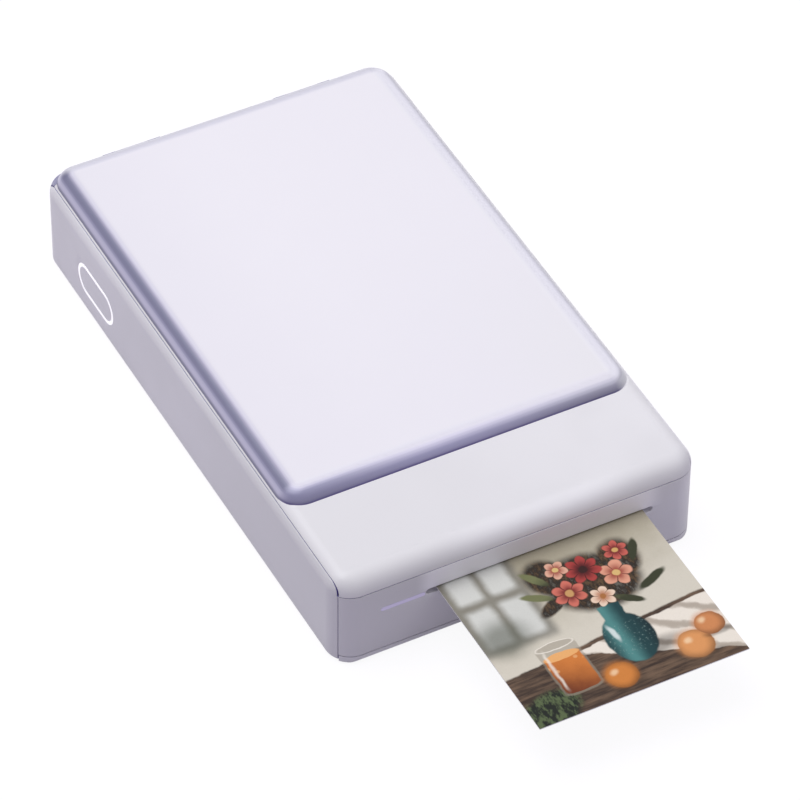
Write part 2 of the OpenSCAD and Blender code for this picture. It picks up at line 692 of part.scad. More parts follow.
// Steel chassis: a base with two side plates, bored for the bushes and pins
module chassis_plate(x0, y0) difference() {
    along_x(x0, 0, 0) linear_extrude(plate_t) difference() {
        outline(y0, chassis_y1, floor_z, plate_top, [0.4, 0.4, 5, 2]);
        // lightening window between the rollers
        translate([transfer_y + 2, roller_z - 3.4]) circle(2.2);
        translate([transfer_y + 4.6, roller_z + 5.4]) circle(1.4);
    }
    rod_x(x0 - 1, x0 + plate_t + 1, platen_y, roller_z, bush_r + 0.05);
    rod_x(x0 - 1, x0 + plate_t + 1, pickup_y, roller_z, bush_r + 0.05);
    rod_x(x0 - 1, x0 + plate_t + 1, pivot_y, pivot_z, pivot_r + 0.02);
}
module chassis() in_place() color(steel_colour) difference() {
    union() {
        chassis_plate(plate_x0 - plate_t, chassis_y0);
        chassis_plate(plate_x1, boss_y + boss_r + 0.5);
        box(plate_x0 - 0.1, plate_x1 + 0.1, boss_y + boss_r + 1, chassis_y1 - 8, floor_z, floor_z + 1);
    }
    for (place = chassis_screw_places) post(place, floor_z - 1, floor_z + 2, screw_r + 0.1);
    rod_x(plate_x0 - plate_t - 1, plate_x0 + 1, drive_y, drive_z, gear_pin_r + 0.02);
    rod_x(plate_x0 - plate_t - 1, plate_x0 + 1, transfer_y, roller_z, gear_pin_r + 0.02);
    for (place = spacers) rod_x(plate_x0 - plate_t - 1, plate_x0 + 1, place[0], place[1], 0.82);
}

module chassis_screws() in_place() color(steel_colour) for (place = chassis_screw_places) {
    post(place, floor_z + 1, floor_z + 1.9, 1.8);
    post(place, sole_z + 0.8, floor_z + 1.1, screw_r);
}

module motor_bracket() in_place() color(steel_colour) difference() {
    union() {
        along_x(bracket_x0, 0, 0) linear_extrude(bracket_x1 - bracket_x0)
            outline(chassis_y0, motor_y + bracket_behind, floor_z, plate_top,
                [0.4, 0.4, bracket_corner_r, bracket_corner_r - 1]);
        box(bracket_x0 - bracket_foot_w, bracket_x1, chassis_y0 + bracket_foot_y,
            motor_y + bracket_behind - 1, floor_z, floor_z + bracket_t);
    }
    rod_x(bracket_x0 - 1, bracket_x1 + 1, motor_y, motor_z, 2);
    rod_x(bracket_x0 - 1, bracket_x1 + 1, drive_y, drive_z, gear_pin_r + 0.02);
    for (place = spacers) rod_x(bracket_x0 - 1, bracket_x1 + 1, place[0], place[1], 0.82);
}

module feed_motor() in_place() color(steel_colour) difference() {
    union() {
        rod_x(motor_x0, bracket_x0, motor_y, motor_z, motor_r);
        rod_x(bracket_x0 - 0.1, bracket_x1, motor_y, motor_z, 1.9);
        // terminal block on the can
        box(motor_x0 + 1.5, bracket_x0 - 2.5, motor_y + 5, motor_y + 9, motor_z - 3,
            motor_z + 3);
    }
    rod_x(bracket_x0 - 3, bracket_x1 + 1, motor_y, motor_z, 0.75 + run_gap);
}

module gear(teeth, w, phase, bore) {
    pitch = gear_m * teeth / 2;
    tip = pitch + gear_addendum * gear_m;
    root = pitch - gear_dedendum * gear_m;
    base = pitch * cos(20);
    low = max(root + 0.05, base);
    rotate(phase) linear_extrude(w) difference() {
        polygon([for (i = [0 : teeth - 1]) for (p = [[root, -1], [low, -1], [(low + tip) / 2, -1],
            [tip, -1], [tip, 1], [(low + tip) / 2, 1], [low, 1], [root, 1]])
            let (a = 360 / teeth * i + p[1] * tooth_half(teeth, p[0])) p[0] * [cos(a), sin(a)]]);
        circle(bore);
    }
}

module motor_pinion() in_place() color("goldenrod") {
    along_x(outer_gear_x0, motor_y, motor_z) gear(motor_teeth, outer_gear_w, motor_phase, 0.6);
    rod_x(bracket_x0 - 2.5, outer_gear_x1, motor_y, motor_z, 0.75);
}

module drive_gear() in_place() color(gear_colour) difference() {
    union() {
        along_x(outer_gear_x0, drive_y, drive_z)
            gear(drive_teeth, outer_gear_x1 - outer_gear_x0, drive_phase, 0.5);
        along_x(outer_gear_x1 - 0.1, drive_y, drive_z)
            gear(pinion_teeth, inner_gear_x1 - outer_gear_x1 + 0.1, drive_phase, 0.5);
    }
    rod_x(outer_gear_x0 - 1, inner_gear_x1 + 1, drive_y, drive_z, gear_pin_r + run_gap);
}

// A gear with a thin web between its rim and hub
rim_depth = 1.5;
hub_wall = 1;
web_sunk = 0.8;
module webbed_gear(x0, x1, y, z, teeth, phase, bore) difference() {
    along_x(x0, y, z) gear(teeth, x1 - x0, phase, bore);
    for (x = [x0 - 0.1, x1 - web_sunk]) difference() {
        rod_x(x, x + web_sunk + 0.1, y, z, gear_m * teeth / 2 - rim_depth);
        rod_x(x - 1, x + 2, y, z, bore + hub_wall);
    }
}

module transfer_gear() in_place() color(gear_colour) webbed_gear(inner_gear_x0, inner_gear_x1,
    transfer_y, roller_z, transfer_teeth, transfer_phase, gear_pin_r + run_gap);
module platen_gear() in_place() color(gear_colour) webbed_gear(inner_gear_x0, inner_gear_x1,
    platen_y, roller_z, roller_teeth, platen_phase, shaft_r + 0.02);
module pickup_gear() in_place() color(gear_colour) webbed_gear(inner_gear_x0, inner_gear_x1,
    pickup_y, roller_z, roller_teeth, pickup_phase, shaft_r + 0.02);

module gear_pins() in_place() color(steel_colour) {
    rod_x(bracket_x0, plate_x0, drive_y, drive_z, gear_pin_r);
    rod_x(inner_gear_x0 - 0.1, plate_x0, transfer_y, roller_z, gear_pin_r);
    rod_x(inner_gear_x0 - 0.5, inner_gear_x0 - 0.1, transfer_y, roller_z, 1.6);
    for (place = spacers) {
        rod_x(bracket_x1, plate_x0 - plate_t, place[0], place[1], spacer_r);
        rod_x(bracket_x0, plate_x0, place[0], place[1], 0.8);
    }
}

module roller_shaft(y) in_place() color(steel_colour)
    rod_x(inner_gear_x0 - 0.2, plate_x1 + plate_t + 0.6, y, roller_z, shaft_r);
module platen_shaft() roller_shaft(platen_y);
module pickup_shaft() roller_shaft(pickup_y);

module platen_sleeve() in_place() color([0.2, 0.2, 0.2])
    tube_x(plate_x0 + 1.4, plate_x1 - 1.4, platen_y, roller_z, platen_r, shaft_r + 0.02);
module pickup_tyres() in_place() color([0.25, 0.25, 0.27]) for (x = tyre_places)
    tube_x(x - tyre_w / 2, x + tyre_w / 2, pickup_y, roller_z, platen_r, shaft_r + 0.02);

module shaft_bushes() in_place() color(gear_colour) for (y = [platen_y, pickup_y]) {
    tube_x(plate_x0 - plate_t, plate_x0 + 0.8, y, roller_z, bush_r, shaft_r + run_gap);
    tube_x(plate_x0, plate_x0 + 0.8, y, roller_z, bush_r + 0.8, shaft_r + run_gap);
    tube_x(plate_x1 - 0.8, plate_x1 + plate_t, y, roller_z, bush_r, shaft_r + run_gap);
    tube_x(plate_x1 - 0.8, plate_x1, y, roller_z, bush_r + 0.8, shaft_r + run_gap);
}

// Ceramic thermal head with a glaze ridge over the platen's top line
module print_head() in_place() color([0.9, 0.88, 0.8]) {
    box(sheet_x - head_w / 2, sheet_x + head_w / 2, platen_y - ceramic_ahead,
        platen_y + ceramic_behind, head_z + 0.25, sink_z);
    intersection() {
        rod_x(sheet_x - head_w / 2, sheet_x + head_w / 2, platen_y, head_z + 1.5, 1.5);
        box(-half_w, half_w, platen_y - 2, platen_y + 2, head_z - 1, sink_z - 0.2);
    }
}

module head_heatsink() in_place() color("silver") difference() {
    box(sheet_x - head_w / 2, sheet_x + head_w / 2, head_y0, head_y1, sink_z, bracket_z);
    for (i = [0 : 9]) {
        x = sheet_x + (i - 4.5) * fin_pitch;
        box(x - fin_slot / 2, x + fin_slot / 2, head_y0 - 1, head_y0 + fin_slot_l,
            sink_z - 1, bracket_z + 1);
    }
}

module head_bracket() in_place() color(steel_colour) difference() {
    union() {
        box(plate_x0 + ear_gap, plate_x1 - ear_gap, head_y0 + 1, ear_y1, bracket_z,
            bracket_z + head_bracket_t);
        for (x = [plate_x0 + ear_gap, plate_x1 - ear_gap - ear_t])
            box(x, x + ear_t, ear_y1 - head_ear_l, ear_y1, pivot_z - pivot_r - 0.9, bracket_z + 0.1);
        // cups that centre the springs
        for (x = spring_places) post([x, platen_y], bracket_z,
            bracket_z + head_bracket_t + 0.6, 1.1);
    }
    rod_x(plate_x0 - 1, plate_x1 + 1, pivot_y, pivot_z, pivot_r + run_gap);
}
spring_reach = 16;
spring_places = [sheet_x - spring_reach, sheet_x + spring_reach];

module head_pivots() in_place() color(steel_colour) {
    rod_x(plate_x0 - plate_t, plate_x0 + ear_gap + ear_t + 0.4, pivot_y, pivot_z, pivot_r);
    rod_x(plate_x1 - ear_gap - ear_t - 0.4, plate_x1 + plate_t, pivot_y, pivot_z, pivot_r);
}

// Coil springs between the head and the deck
spring_r = 1.75;
wire_r = 0.25;
spring_turns = 5;
spring_steps = 12;
wire_sides = 6;
module coil(z0, z1) {
    n = spring_turns * spring_steps;
    rings = [for (i = [0 : n]) let (a = 360 * i / spring_steps,
        z = z0 + wire_r + (z1 - z0 - 2 * wire_r) * i / n)
        for (j = [0 : wire_sides - 1]) let (b = 360 * j / wire_sides, r = spring_r + wire_r * cos(b))
            [r * cos(a), r * sin(a), z + wire_r * sin(b)]];
    sides = [for (i = [0 : n - 1]) for (j = [0 : wire_sides - 1]) let (k = (j + 1) % wire_sides)
        [i * wire_sides + j, (i + 1) * wire_sides + j, (i + 1) * wire_sides + k, i * wire_sides + k]];
    first = [for (j = [0 : wire_sides - 1]) j];
    last = [for (j = [wire_sides - 1 : -1 : 0]) n * wire_sides + j];
    polyhedron(rings, concat(sides, [first], [last]));
}
module head_springs() in_place() color(steel_colour) for (x = spring_places)
    translate([x, platen_y, 0]) coil(bracket_z + head_bracket_t + 0.05, deck_z - wall - 0.05);

// Guides before and after the nip, between the chassis plates
module paper_guides() in_place() color(dark_colour) {
    for (span = [[wall + 0.4, platen_y - 4.2], [platen_y + 4.2, bay_y0 - tray_t - 0.4]]) {
        box(plate_x0, plate_x1, span[0], span[1], sheet_z0 - 2, sheet_z0 - 1);
        for (i = [-4 : 4]) box(sheet_x + i * 6 - 0.4, sheet_x + i * 6 + 0.4, span[0], span[1],
            sheet_z0 - 1.1, sheet_z0 - 0.2);
    }
}

module battery_slab(grow, z0, z1) slab(sheet_x - battery[0] / 2 - grow,
    sheet_x + battery[0] / 2 + grow, battery_y - grow, battery_y + battery[1] + grow, z0, z1,
    battery_r + grow);
module battery_pack() in_place() color([0.62, 0.64, 0.68])
    battery_slab(0, floor_z, floor_z + battery[2]);

module main_board() in_place() color([0.1, 0.35, 0.22]) difference() {
    union() {
        slab(board_x0, board_x1, board_y0, board_y1, board_z, board_top, 1);
        slab(-board_half, board_half, board_rear_y0, body_l - 3, board_z, board_top, 1);
    }
    for (place = board_places) post(place, board_z - 1, board_top + 1, 0.8 + run_gap);
}

// Chips, radio can, connectors and board screws
// each is [x, y, width, length, height] from a corner of its strip of the board
side_chips = [[4, 15, 10, 10, 1.2], [5, 31, 8, 12, 1.8], [11, 45, 5, 4, 1], [3, 49, 4, 6, 2.2]];
rear_chips = [[14, 6, 9, 9, 1.2], [48, 4, 14, 10, 1.8], [28, 5, 5, 4, 1]];
module chip(x, y, c) box(x + c[0], x + c[0] + c[2], y + c[1], y + c[1] + c[3], board_top,
    board_top + c[4]);
module board_chips() in_place() color([0.15, 0.15, 0.16]) {
    for (c = side_chips) chip(board_x0, board_y0, c);
    for (c = rear_chips) chip(-board_half, board_rear_y0, c);
}

module usb_socket() in_place() color(steel_colour) difference() {
    stadium_y(0, body_l - 0.6 - usb_l, body_l - 0.6, usb_z, usb_w, usb_h);
    stadium_y(0, body_l - usb_l + 0.6, body_l, usb_z, usb_w - 0.6, usb_h - 0.6);
}

module power_switch() in_place() color(dark_colour) {
    box(switch_x, switch_x + 3.4, button_y - 3, button_y + 3, board_top, button_z + 1.4);
    stadium_x(switch_x - 0.6, switch_x + 0.1, button_y, button_z, 3.2, 1.6);
}

module power_button() in_place() color(panel_colour) {
    stadium_x(-half_w, -half_w + 1.3, button_y, button_z, ring_l - 2 * ring_t - 2 * button_gap,
        ring_h - 2 * ring_t - 2 * button_gap);
    stadium_x(-half_w + 1.2, -half_w + 1.8, button_y, button_z, ring_l - 0.8, ring_h - 0.8);
    stadium_x(-half_w + 1.7, switch_x - 0.6 - button_travel - 0.1, button_y, button_z, 5, 3);
}

module power_ring() in_place() color("white") difference() {
    stadium_x(-half_w, -half_w + 1.1, button_y, button_z, ring_l - 0.1, ring_h - 0.1);
    stadium_x(-half_w - 1, -half_w + 2, button_y, button_z, ring_l - 2 * ring_t, ring_h - 2 * ring_t);
}

module status_light() in_place() color([0.66, 0.6, 0.85])
    stadium_y(light_x, 0, light_d, light_z, light_w - 0.1, light_h - 0.1);

module light_board() in_place() color([0.1, 0.35, 0.22]) {
    box(light_x - 6, light_x + 4, light_d + 0.1, light_d + 0.9, light_z - 3, light_z + 3);
}

module print_sheet() in_place() color([0.93, 0.9, 0.84])
    box(path_x0, path_x1, -sheet_out, sheet_l - sheet_out, sheet_z0, sheet_z1);

bottom_shell();
top_deck();
left_side_panel();
right_side_panel();
front_panel();
rear_panel();
rubber_feet();
case_screws();
cover_shell();
cover_liner();
liner_screws();
cover_magnets();
deck_magnets();
paper_springs();
hinge_pins();
paper_tray();
tray_screws();
separation_pad();
chassis();
chassis_screws();
motor_bracket();
feed_motor();
motor_pinion();
drive_gear();
transfer_gear();
gear_pins();
platen_shaft();
platen_sleeve();
platen_gear();
pickup_shaft();
pickup_tyres();
pickup_gear();
shaft_bushes();
print_head();
head_heatsink();
head_bracket();
head_pivots();
head_springs();
paper_guides();
battery_pack();
main_board();
board_chips();
usb_socket();
power_switch();
power_button();
power_ring();
status_light();
light_board();
print_sheet();
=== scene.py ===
"""Looks of a compact photo printer: moulded shells, a pearl cover, a finished sheet in the slot.

Lengths are in millimetres up to the moment a mesh is made. Names ending in _X, _Y or _Z are planes of
the part, and names ending in _R are radii.
"""
import json
import math

import bmesh
import bpy
from mathutils import Matrix, Vector


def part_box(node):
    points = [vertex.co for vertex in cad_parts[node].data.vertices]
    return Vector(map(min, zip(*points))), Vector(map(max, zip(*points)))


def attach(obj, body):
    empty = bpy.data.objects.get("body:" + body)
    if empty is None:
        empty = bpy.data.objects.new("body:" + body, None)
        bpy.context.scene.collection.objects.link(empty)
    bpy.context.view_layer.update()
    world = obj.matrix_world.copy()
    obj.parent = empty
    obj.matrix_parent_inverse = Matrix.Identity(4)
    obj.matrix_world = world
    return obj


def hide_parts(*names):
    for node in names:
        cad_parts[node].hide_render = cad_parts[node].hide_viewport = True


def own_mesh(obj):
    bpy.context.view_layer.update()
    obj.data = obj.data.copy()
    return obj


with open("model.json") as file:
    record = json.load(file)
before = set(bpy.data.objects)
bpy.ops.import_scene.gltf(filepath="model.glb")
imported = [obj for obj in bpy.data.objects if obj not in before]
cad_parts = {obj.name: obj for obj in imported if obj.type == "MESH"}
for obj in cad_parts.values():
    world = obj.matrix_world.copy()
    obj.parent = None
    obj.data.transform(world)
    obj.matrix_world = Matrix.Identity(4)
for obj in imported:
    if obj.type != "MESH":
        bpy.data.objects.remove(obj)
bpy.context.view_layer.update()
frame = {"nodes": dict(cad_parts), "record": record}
NODES = frame["nodes"]
MM = 0.001


def span(node):
    """Lowest and highest corner of a CAD node, in millimetres."""
    low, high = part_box(node)
    return low / MM, high / MM


# ---- planes read from the frame ----
LEFT_X = span("left_side_panel")[0].x
RIGHT_X = span("right_side_panel")[1].x
FRONT_Y = span("front_panel")[0].y
BACK_Y = span("rear_panel")[1].y
SOLE_Z = span("bottom_shell")[0].z
DECK_Z = span("top_deck")[1].z
COVER_LOW, COVER_HIGH = span("cover_shell")
SHEET_LOW, SHEET_HIGH = span("print_sheet")

# ---- sizes of the shells ----
# rounds of the plan's corners, of the top at the sides, front and back, and of the sole
CORNER_R = 6.0
SHOULDER_R = 4.0
NOSE_R = 5.0
HEEL_R = 4.0
SOLE_R = 0.8
WALL = 1.6
# width of a seam and round of its lips
SEAM = 0.12
LIP_R = 0.13
# the side seam's distance in from the wall, and the panel's thickness under the rim
RIM_INSET = 1.05
RIM_SKIN = 0.7
# a side panel's upright seam, where its top seam turns down into it, and how squarely
CHEEK_Y = 2.4
CHEEK_END_Y = 6.0
CHEEK_POWER = 2.6
NOSE_SEAM_Z = SOLE_Z + 19.8
SOLE_SEAM_Z = SOLE_Z + 1.675
# the cover, its seat in the deck and the gaps beside and before it
COVER_CORNER_R = 5.6
COVER_EDGE_R = 3.8
SEAT_DEPTH = 0.8
COVER_GAP = 0.2
BROW_GAP = 0.5
# the tail starts here; its ears stand beside the cover's knuckles
TAIL_Y = BACK_Y - 4.75
EAR_L = 3.0
EAR_R = 0.95
KNUCKLE_L = 8.0
PIN_HOLE_R = 0.55
# the recess round the sheet's slot, and the slot's play beside the sheet
SLOT_END = 2.5
SLOT_H = 1.6
SLOT_DROP = 0.27
SLOT_DEPTH = 1.45
SLOT_PLAY = 0.4
SOCKET_PLAY = 0.3
RESET_X = 12.0
RESET_H = 1.2
# the plate under the cover, inside the walls
PLATE_INSET_X = 2.15
PLATE_INSET_Y = 1.7
# the finger notch behind the paper bay, and the play round the bay
NOTCH_R = 8.0
BAY_PLAY = Vector((0.2, 0.3, 0.0))
# hinge ears: half the width of the foot, and the play beside a knuckle
EAR_FOOT = 0.6
EAR_PLAY = 0.2
# past every face of the part, for tools that cut right through
BEYOND = 20.0

# ---- the view ----
VIEW_AZIMUTH = -27.993
VIEW_ELEVATION = 44.265
VIEW_ROLL = 0.637
VIEW_TARGET = Vector((1.023, 6.633, 10.6))
VIEW_DISTANCE = 1214.7
LENS = 244.48
SENSOR = 36.0


def heading(azimuth, elevation):
    """Unit vector from the part to a place at an azimuth from the front and an elevation, in degrees."""
    a, e = math.radians(azimuth), math.radians(elevation)
    return Vector((math.sin(a) * math.cos(e), -math.cos(a) * math.cos(e), math.sin(e)))


# ---- shader arithmetic ----
def _arithmetic(operation, swapped=False):
    """A method that joins two values with one Math node."""
    def method(self, other):
        values = (other, self) if swapped else (self, other)
        return self._math(operation, *values)
    return method


class Wire:
    """A value socket that takes part in Python arithmetic by adding Math nodes."""

    def __init__(self, bench, socket):
        self.bench = bench
        self.socket = socket

    def _math(self, operation, *values):
        made = self.bench.out("ShaderNodeMath", dict(enumerate(values)), operation=operation)
        return Wire(self.bench, made)

    __add__, __radd__ = _arithmetic("ADD"), _arithmetic("ADD", True)
    __sub__, __rsub__ = _arithmetic("SUBTRACT"), _arithmetic("SUBTRACT", True)
    __mul__, __rmul__ = _arithmetic("MULTIPLY"), _arithmetic("MULTIPLY", True)
    __truediv__ = _arithmetic("DIVIDE")
    least, most = _arithmetic("MINIMUM"), _arithmetic("MAXIMUM")

    def __abs__(self):
        return self._math("ABSOLUTE", self)

    def root(self):
        return self._math("SQRT", self)

    def sine(self):
        return self._math("SINE", self)

    def cosine(self):
        return self._math("COSINE", self)

    def turn(self, other):
        """Angle in degrees whose rise is this value and whose run is the other."""
        return self._math("ARCTAN2", self, other) * (180 / math.pi)

    def rise(self, start, end):
        """0 below start, 1 above end and a smooth step between; start may be the larger one."""
        sockets = {"Value": self, "From Min": start, "From Max": end}
        made = self.bench.out("ShaderNodeMapRange", sockets, "Result", interpolation_type="SMOOTHSTEP")
        return Wire(self.bench, made)


class Bench:
    """Adds nodes to a tree."""

    def __init__(self, tree):
        self.tree = tree

    def node(self, kind, sockets=None, **settings):
        """A node of one kind: its settings first, then the values or links of its sockets."""
        made = self.tree.nodes.new(kind)
        for key, value in settings.items():
            setattr(made, key, value)
        for key, value in (sockets or {}).items():
            self.plug(made.inputs[key], value)
        return made

    def out(self, kind, sockets=None, which=0, **settings):
        """One output of such a node."""
        return self.node(kind, sockets, **settings).outputs[which]

    def plug(self, socket, value):
        if isinstance(value, Wire):
            value = value.socket
        if isinstance(value, bpy.types.NodeSocket):
            self.tree.links.new(value, socket)
        elif isinstance(value, (tuple, list)) and len(value) == 3 and len(socket.default_value) == 4:
            socket.default_value = (*value, 1.0)
        else:
            socket.default_value = value


class Finish(Bench):
    """One procedural material round a Principled shader."""

    def __init__(self, name):
        self.material = bpy.data.materials.new(name)
        self.material.use_nodes = True
        super().__init__(self.material.node_tree)
        self.tree.nodes.clear()
        self.surface = self.node("ShaderNodeBsdfPrincipled")
        self.output = self.node("ShaderNodeOutputMaterial", {"Surface": self.surface.outputs[0]})
        self._place = None

    def place(self):
        """x, y and z on the object, in millimetres."""
        if self._place is None:
            where = self.out("ShaderNodeTexCoord", which="Object")
            self.spot = self.out("ShaderNodeVectorMath", {0: where, "Scale": 1 / MM}, operation="SCALE")
            apart = self.node("ShaderNodeSeparateXYZ", {0: self.spot})
            self._place = [Wire(self, apart.outputs[i]) for i in range(3)]
        return self._place

    def spread(self, size, detail=2.0, roughness=0.5, stretch=None):
        """Noise from 0 to 1 whose grains are about size millimetres across."""
        self.place()
        vector = self.spot
        if stretch:
            vector = self.out("ShaderNodeMapping", {"Vector": vector, "Scale": stretch})
        sockets = {"Vector": vector, "Scale": 1 / size, "Detail": detail, "Roughness": roughness}
        return Wire(self, self.out("ShaderNodeTexNoise", sockets, "Fac"))

    def cells(self, size):
        """Distance to the nearest of scattered points about size millimetres apart."""
        self.place()
        sockets = {"Vector": self.spot, "Scale": 1 / size}
        return Wire(self, self.out("ShaderNodeTexVoronoi", sockets, "Distance"))

    def ramp(self, value, stops):
        """Colour that changes over (position, colour) stops as a value goes from 0 to 1."""
        made = self.node("ShaderNodeValToRGB", {0: value})
        ramp = made.color_ramp
        ramp.interpolation = "EASE"
        while len(ramp.elements) < len(stops):
            ramp.elements.new(0.5)
        for element, (position, colour) in zip(ramp.elements, stops):
            element.position = position
            element.color = (*colour, 1.0)
        return made.outputs["Color"]

    def mix(self, under, over, mask, blend="MIX"):
        """Colour over laid on colour under where the mask is 1."""
        sockets = {0: mask, 6: under, 7: over}
        return self.out("ShaderNodeMix", sockets, 2, data_type="RGBA", blend_type=blend, clamp_factor=True)

    def bump(self, height, depth):
        """Normal of a surface whose height, from 0 to 1, stands depth millimetres high."""
        sockets = {"Height": height, "Distance": depth * MM, "Strength": 1.0}
        return self.out("ShaderNodeBump", sockets, "Normal")

    def wear(self, **values):
        """Sets the surface's sockets; names use an underscore for a space."""
        for key, value in values.items():
            self.plug(self.surface.inputs[key.replace("_", " ")], value)
        return self.material


def hue(red, green, blue):
    """Linear colour from 0-255 display values."""
    def linear(v):
        v /= 255
        return v / 12.92 if v <= 0.04045 else ((v + 0.055) / 1.055) ** 2.4
    return (linear(red), linear(green), linear(blue))


def scaled(values, share):
    return tuple(v * share for v in values)


# ---- finishes ----
SHELL_WHITE = hue(224, 223, 227)
SEAM_VIOLET = hue(124, 112, 184)
# painted light on the nose and the panel above the slot, as if thrown back from the sheet
NOSE_PAINTED_LIGHT = hue(251, 250, 255)
GUIDE_LIGHT = (0.13, 0.12, 0.175)
# how far from the front left corner the painted shade on a plastic is darkest and where it ends
PAINTED_SHADE_NEAR, PAINTED_SHADE_FAR = 5.0, 105.0


def paint_shade_and_light_by_place(f, shade, colour, painted_shade):
    """Painted shade, darker by a share at the front left corner, and painted light, paler above the slot."""
    x, y, z = f.place()
    reach_x, reach_y = x - LEFT_X, y - FRONT_Y
    far = (reach_x * reach_x + reach_y * reach_y).root()
    # painted shade, darkest at the front left corner
    shade = f.mix(shade, scaled(colour, 1 - painted_shade), far.rise(PAINTED_SHADE_FAR, PAINTED_SHADE_NEAR))
    # painted light above the slot: on the panel beside the sheet, and more faintly on the nose
    aside = abs(x - (SHEET_LOW.x + SHEET_HIGH.x) / 2)
    seam_low, seam_high = NOSE_SEAM_Z - 0.2, NOSE_SEAM_Z + 0.4
    on_panel = aside.rise(31.0, 26.0) * z.rise(seam_high, seam_low) * (z - SHEET_HIGH.z).rise(-0.1, 0.3)
    on_nose = aside.rise(25.0, 10.0) * z.rise(seam_low, seam_high) * 0.4
    return f.mix(shade, NOSE_PAINTED_LIGHT, (on_panel + on_nose) * reach_y.rise(6.5, 1.5) * 0.9)


def moulded(name, colour, rough=0.42, grain=0.18, depth=0.004, drift=0.03, lit=(0.0, 0.0, 0.0), painted_shade=0.0):
    """Moulded plastic: a spark-eroded grain, slow changes of tone and a faint handling sheen.

    lit is the light that a lamp behind it adds. The last argument is the share of painted shade at the front
    left corner, which also brings painted light above the slot.
    """
    f = Finish(name)
    tone = f.spread(26.0, 2.0)
    grainy = f.spread(grain, 3.0, 0.6)
    lighter = tuple(min(1.0, c * (1 + drift)) for c in colour)
    shade = f.mix(scaled(colour, 1 - drift), lighter, tone.rise(0.35, 0.65))
    speck = f.spread(0.5, 2.0).rise(0.62, 0.8)
    shade = f.mix(shade, scaled(colour, 0.97), speck * 0.5)
    if painted_shade:
        shade = paint_shade_and_light_by_place(f, shade, colour, painted_shade)
    return f.wear(
        Base_Color=shade,
        Roughness=rough + 0.07 * (f.spread(14.0, 3.0) - 0.5) + 0.05 * (grainy - 0.5),
        Normal=f.bump(grainy, depth),
        Emission_Color=lit,
        Emission_Strength=1.0 if any(lit) else 0.0,
    )


def brushed(name, colour, rough=0.28, along=(0.04, 1.0, 1.0)):
    """Rolled or ground metal with fine lines along one axis."""
    f = Finish(name)
    lines = f.spread(0.22, 4.0, 0.65, along)
    stain = f.spread(5.0, 3.0)
    shade = f.mix(scaled(colour, 0.86), colour, lines.rise(0.3, 0.7))
    shade = f.mix(shade, scaled(colour, 0.8), stain.rise(0.6, 0.85) * 0.4)
    return f.wear(
        Base_Color=shade,
        Metallic=1.0,
        Roughness=rough + 0.14 * (lines - 0.5) + 0.1 * (stain - 0.5),
        Normal=f.bump(lines, 0.002),
    )


def rubbery(name, colour):
    """Moulded rubber with a dusty bloom."""
    f = Finish(name)
    bloom = f.spread(3.0, 4.0)
    grit = f.cells(0.35)
    shade = f.mix(colour, tuple(c * 2.2 + 0.01 for c in colour), bloom.rise(0.45, 0.8) * 0.5)
    return f.wear(Base_Color=shade, Roughness=0.72 + 0.12 * (bloom - 0.5), Normal=f.bump(grit, 0.02))


# ---- the print ----
# All places on it are in millimetres across and up from its front left corner.
# centre, half sizes and lean of a leaf
LEAVES = ((17.5, 33.5, 3.6, 1.0, 152), (42.5, 27.5, 4.2, 1.1, 24), (19.5, 38.5, 3.4, 1.0, 128),
          (35.5, 24.5, 3.2, 1.0, -34), (43.0, 37.0, 3.4, 1.0, 62))
# centre, radius, petals and lean of a blossom, and its outer, inner and heart colours
BLOSSOMS = ((24.5, 31.5, 3.9, 6, 10, (206, 112, 96), (120, 44, 40), (196, 150, 96)),
            (36.5, 32.5, 3.8, 5, 40, (222, 158, 132), (158, 78, 62), (214, 178, 116)),
            (30.5, 36.5, 4.1, 7, 0, (168, 62, 58), (84, 24, 26), (52, 22, 20)),
            (30.5, 27.6, 3.0, 6, 25, (232, 206, 184), (190, 136, 108), (166, 108, 60)),
            (25.0, 39.0, 2.7, 5, 62, (220, 170, 146), (160, 84, 68), (214, 184, 120)),
            (39.5, 38.5, 2.9, 6, 15, (196, 96, 84), (118, 36, 38), (206, 164, 100)))
# centre, radius and colour of a fruit
FRUIT = ((23.0, 5.6, 3.7, (206, 128, 58)), (41.5, 6.4, 4.1, (218, 150, 92)),
         (47.0, 10.4, 3.3, (204, 134, 84)))


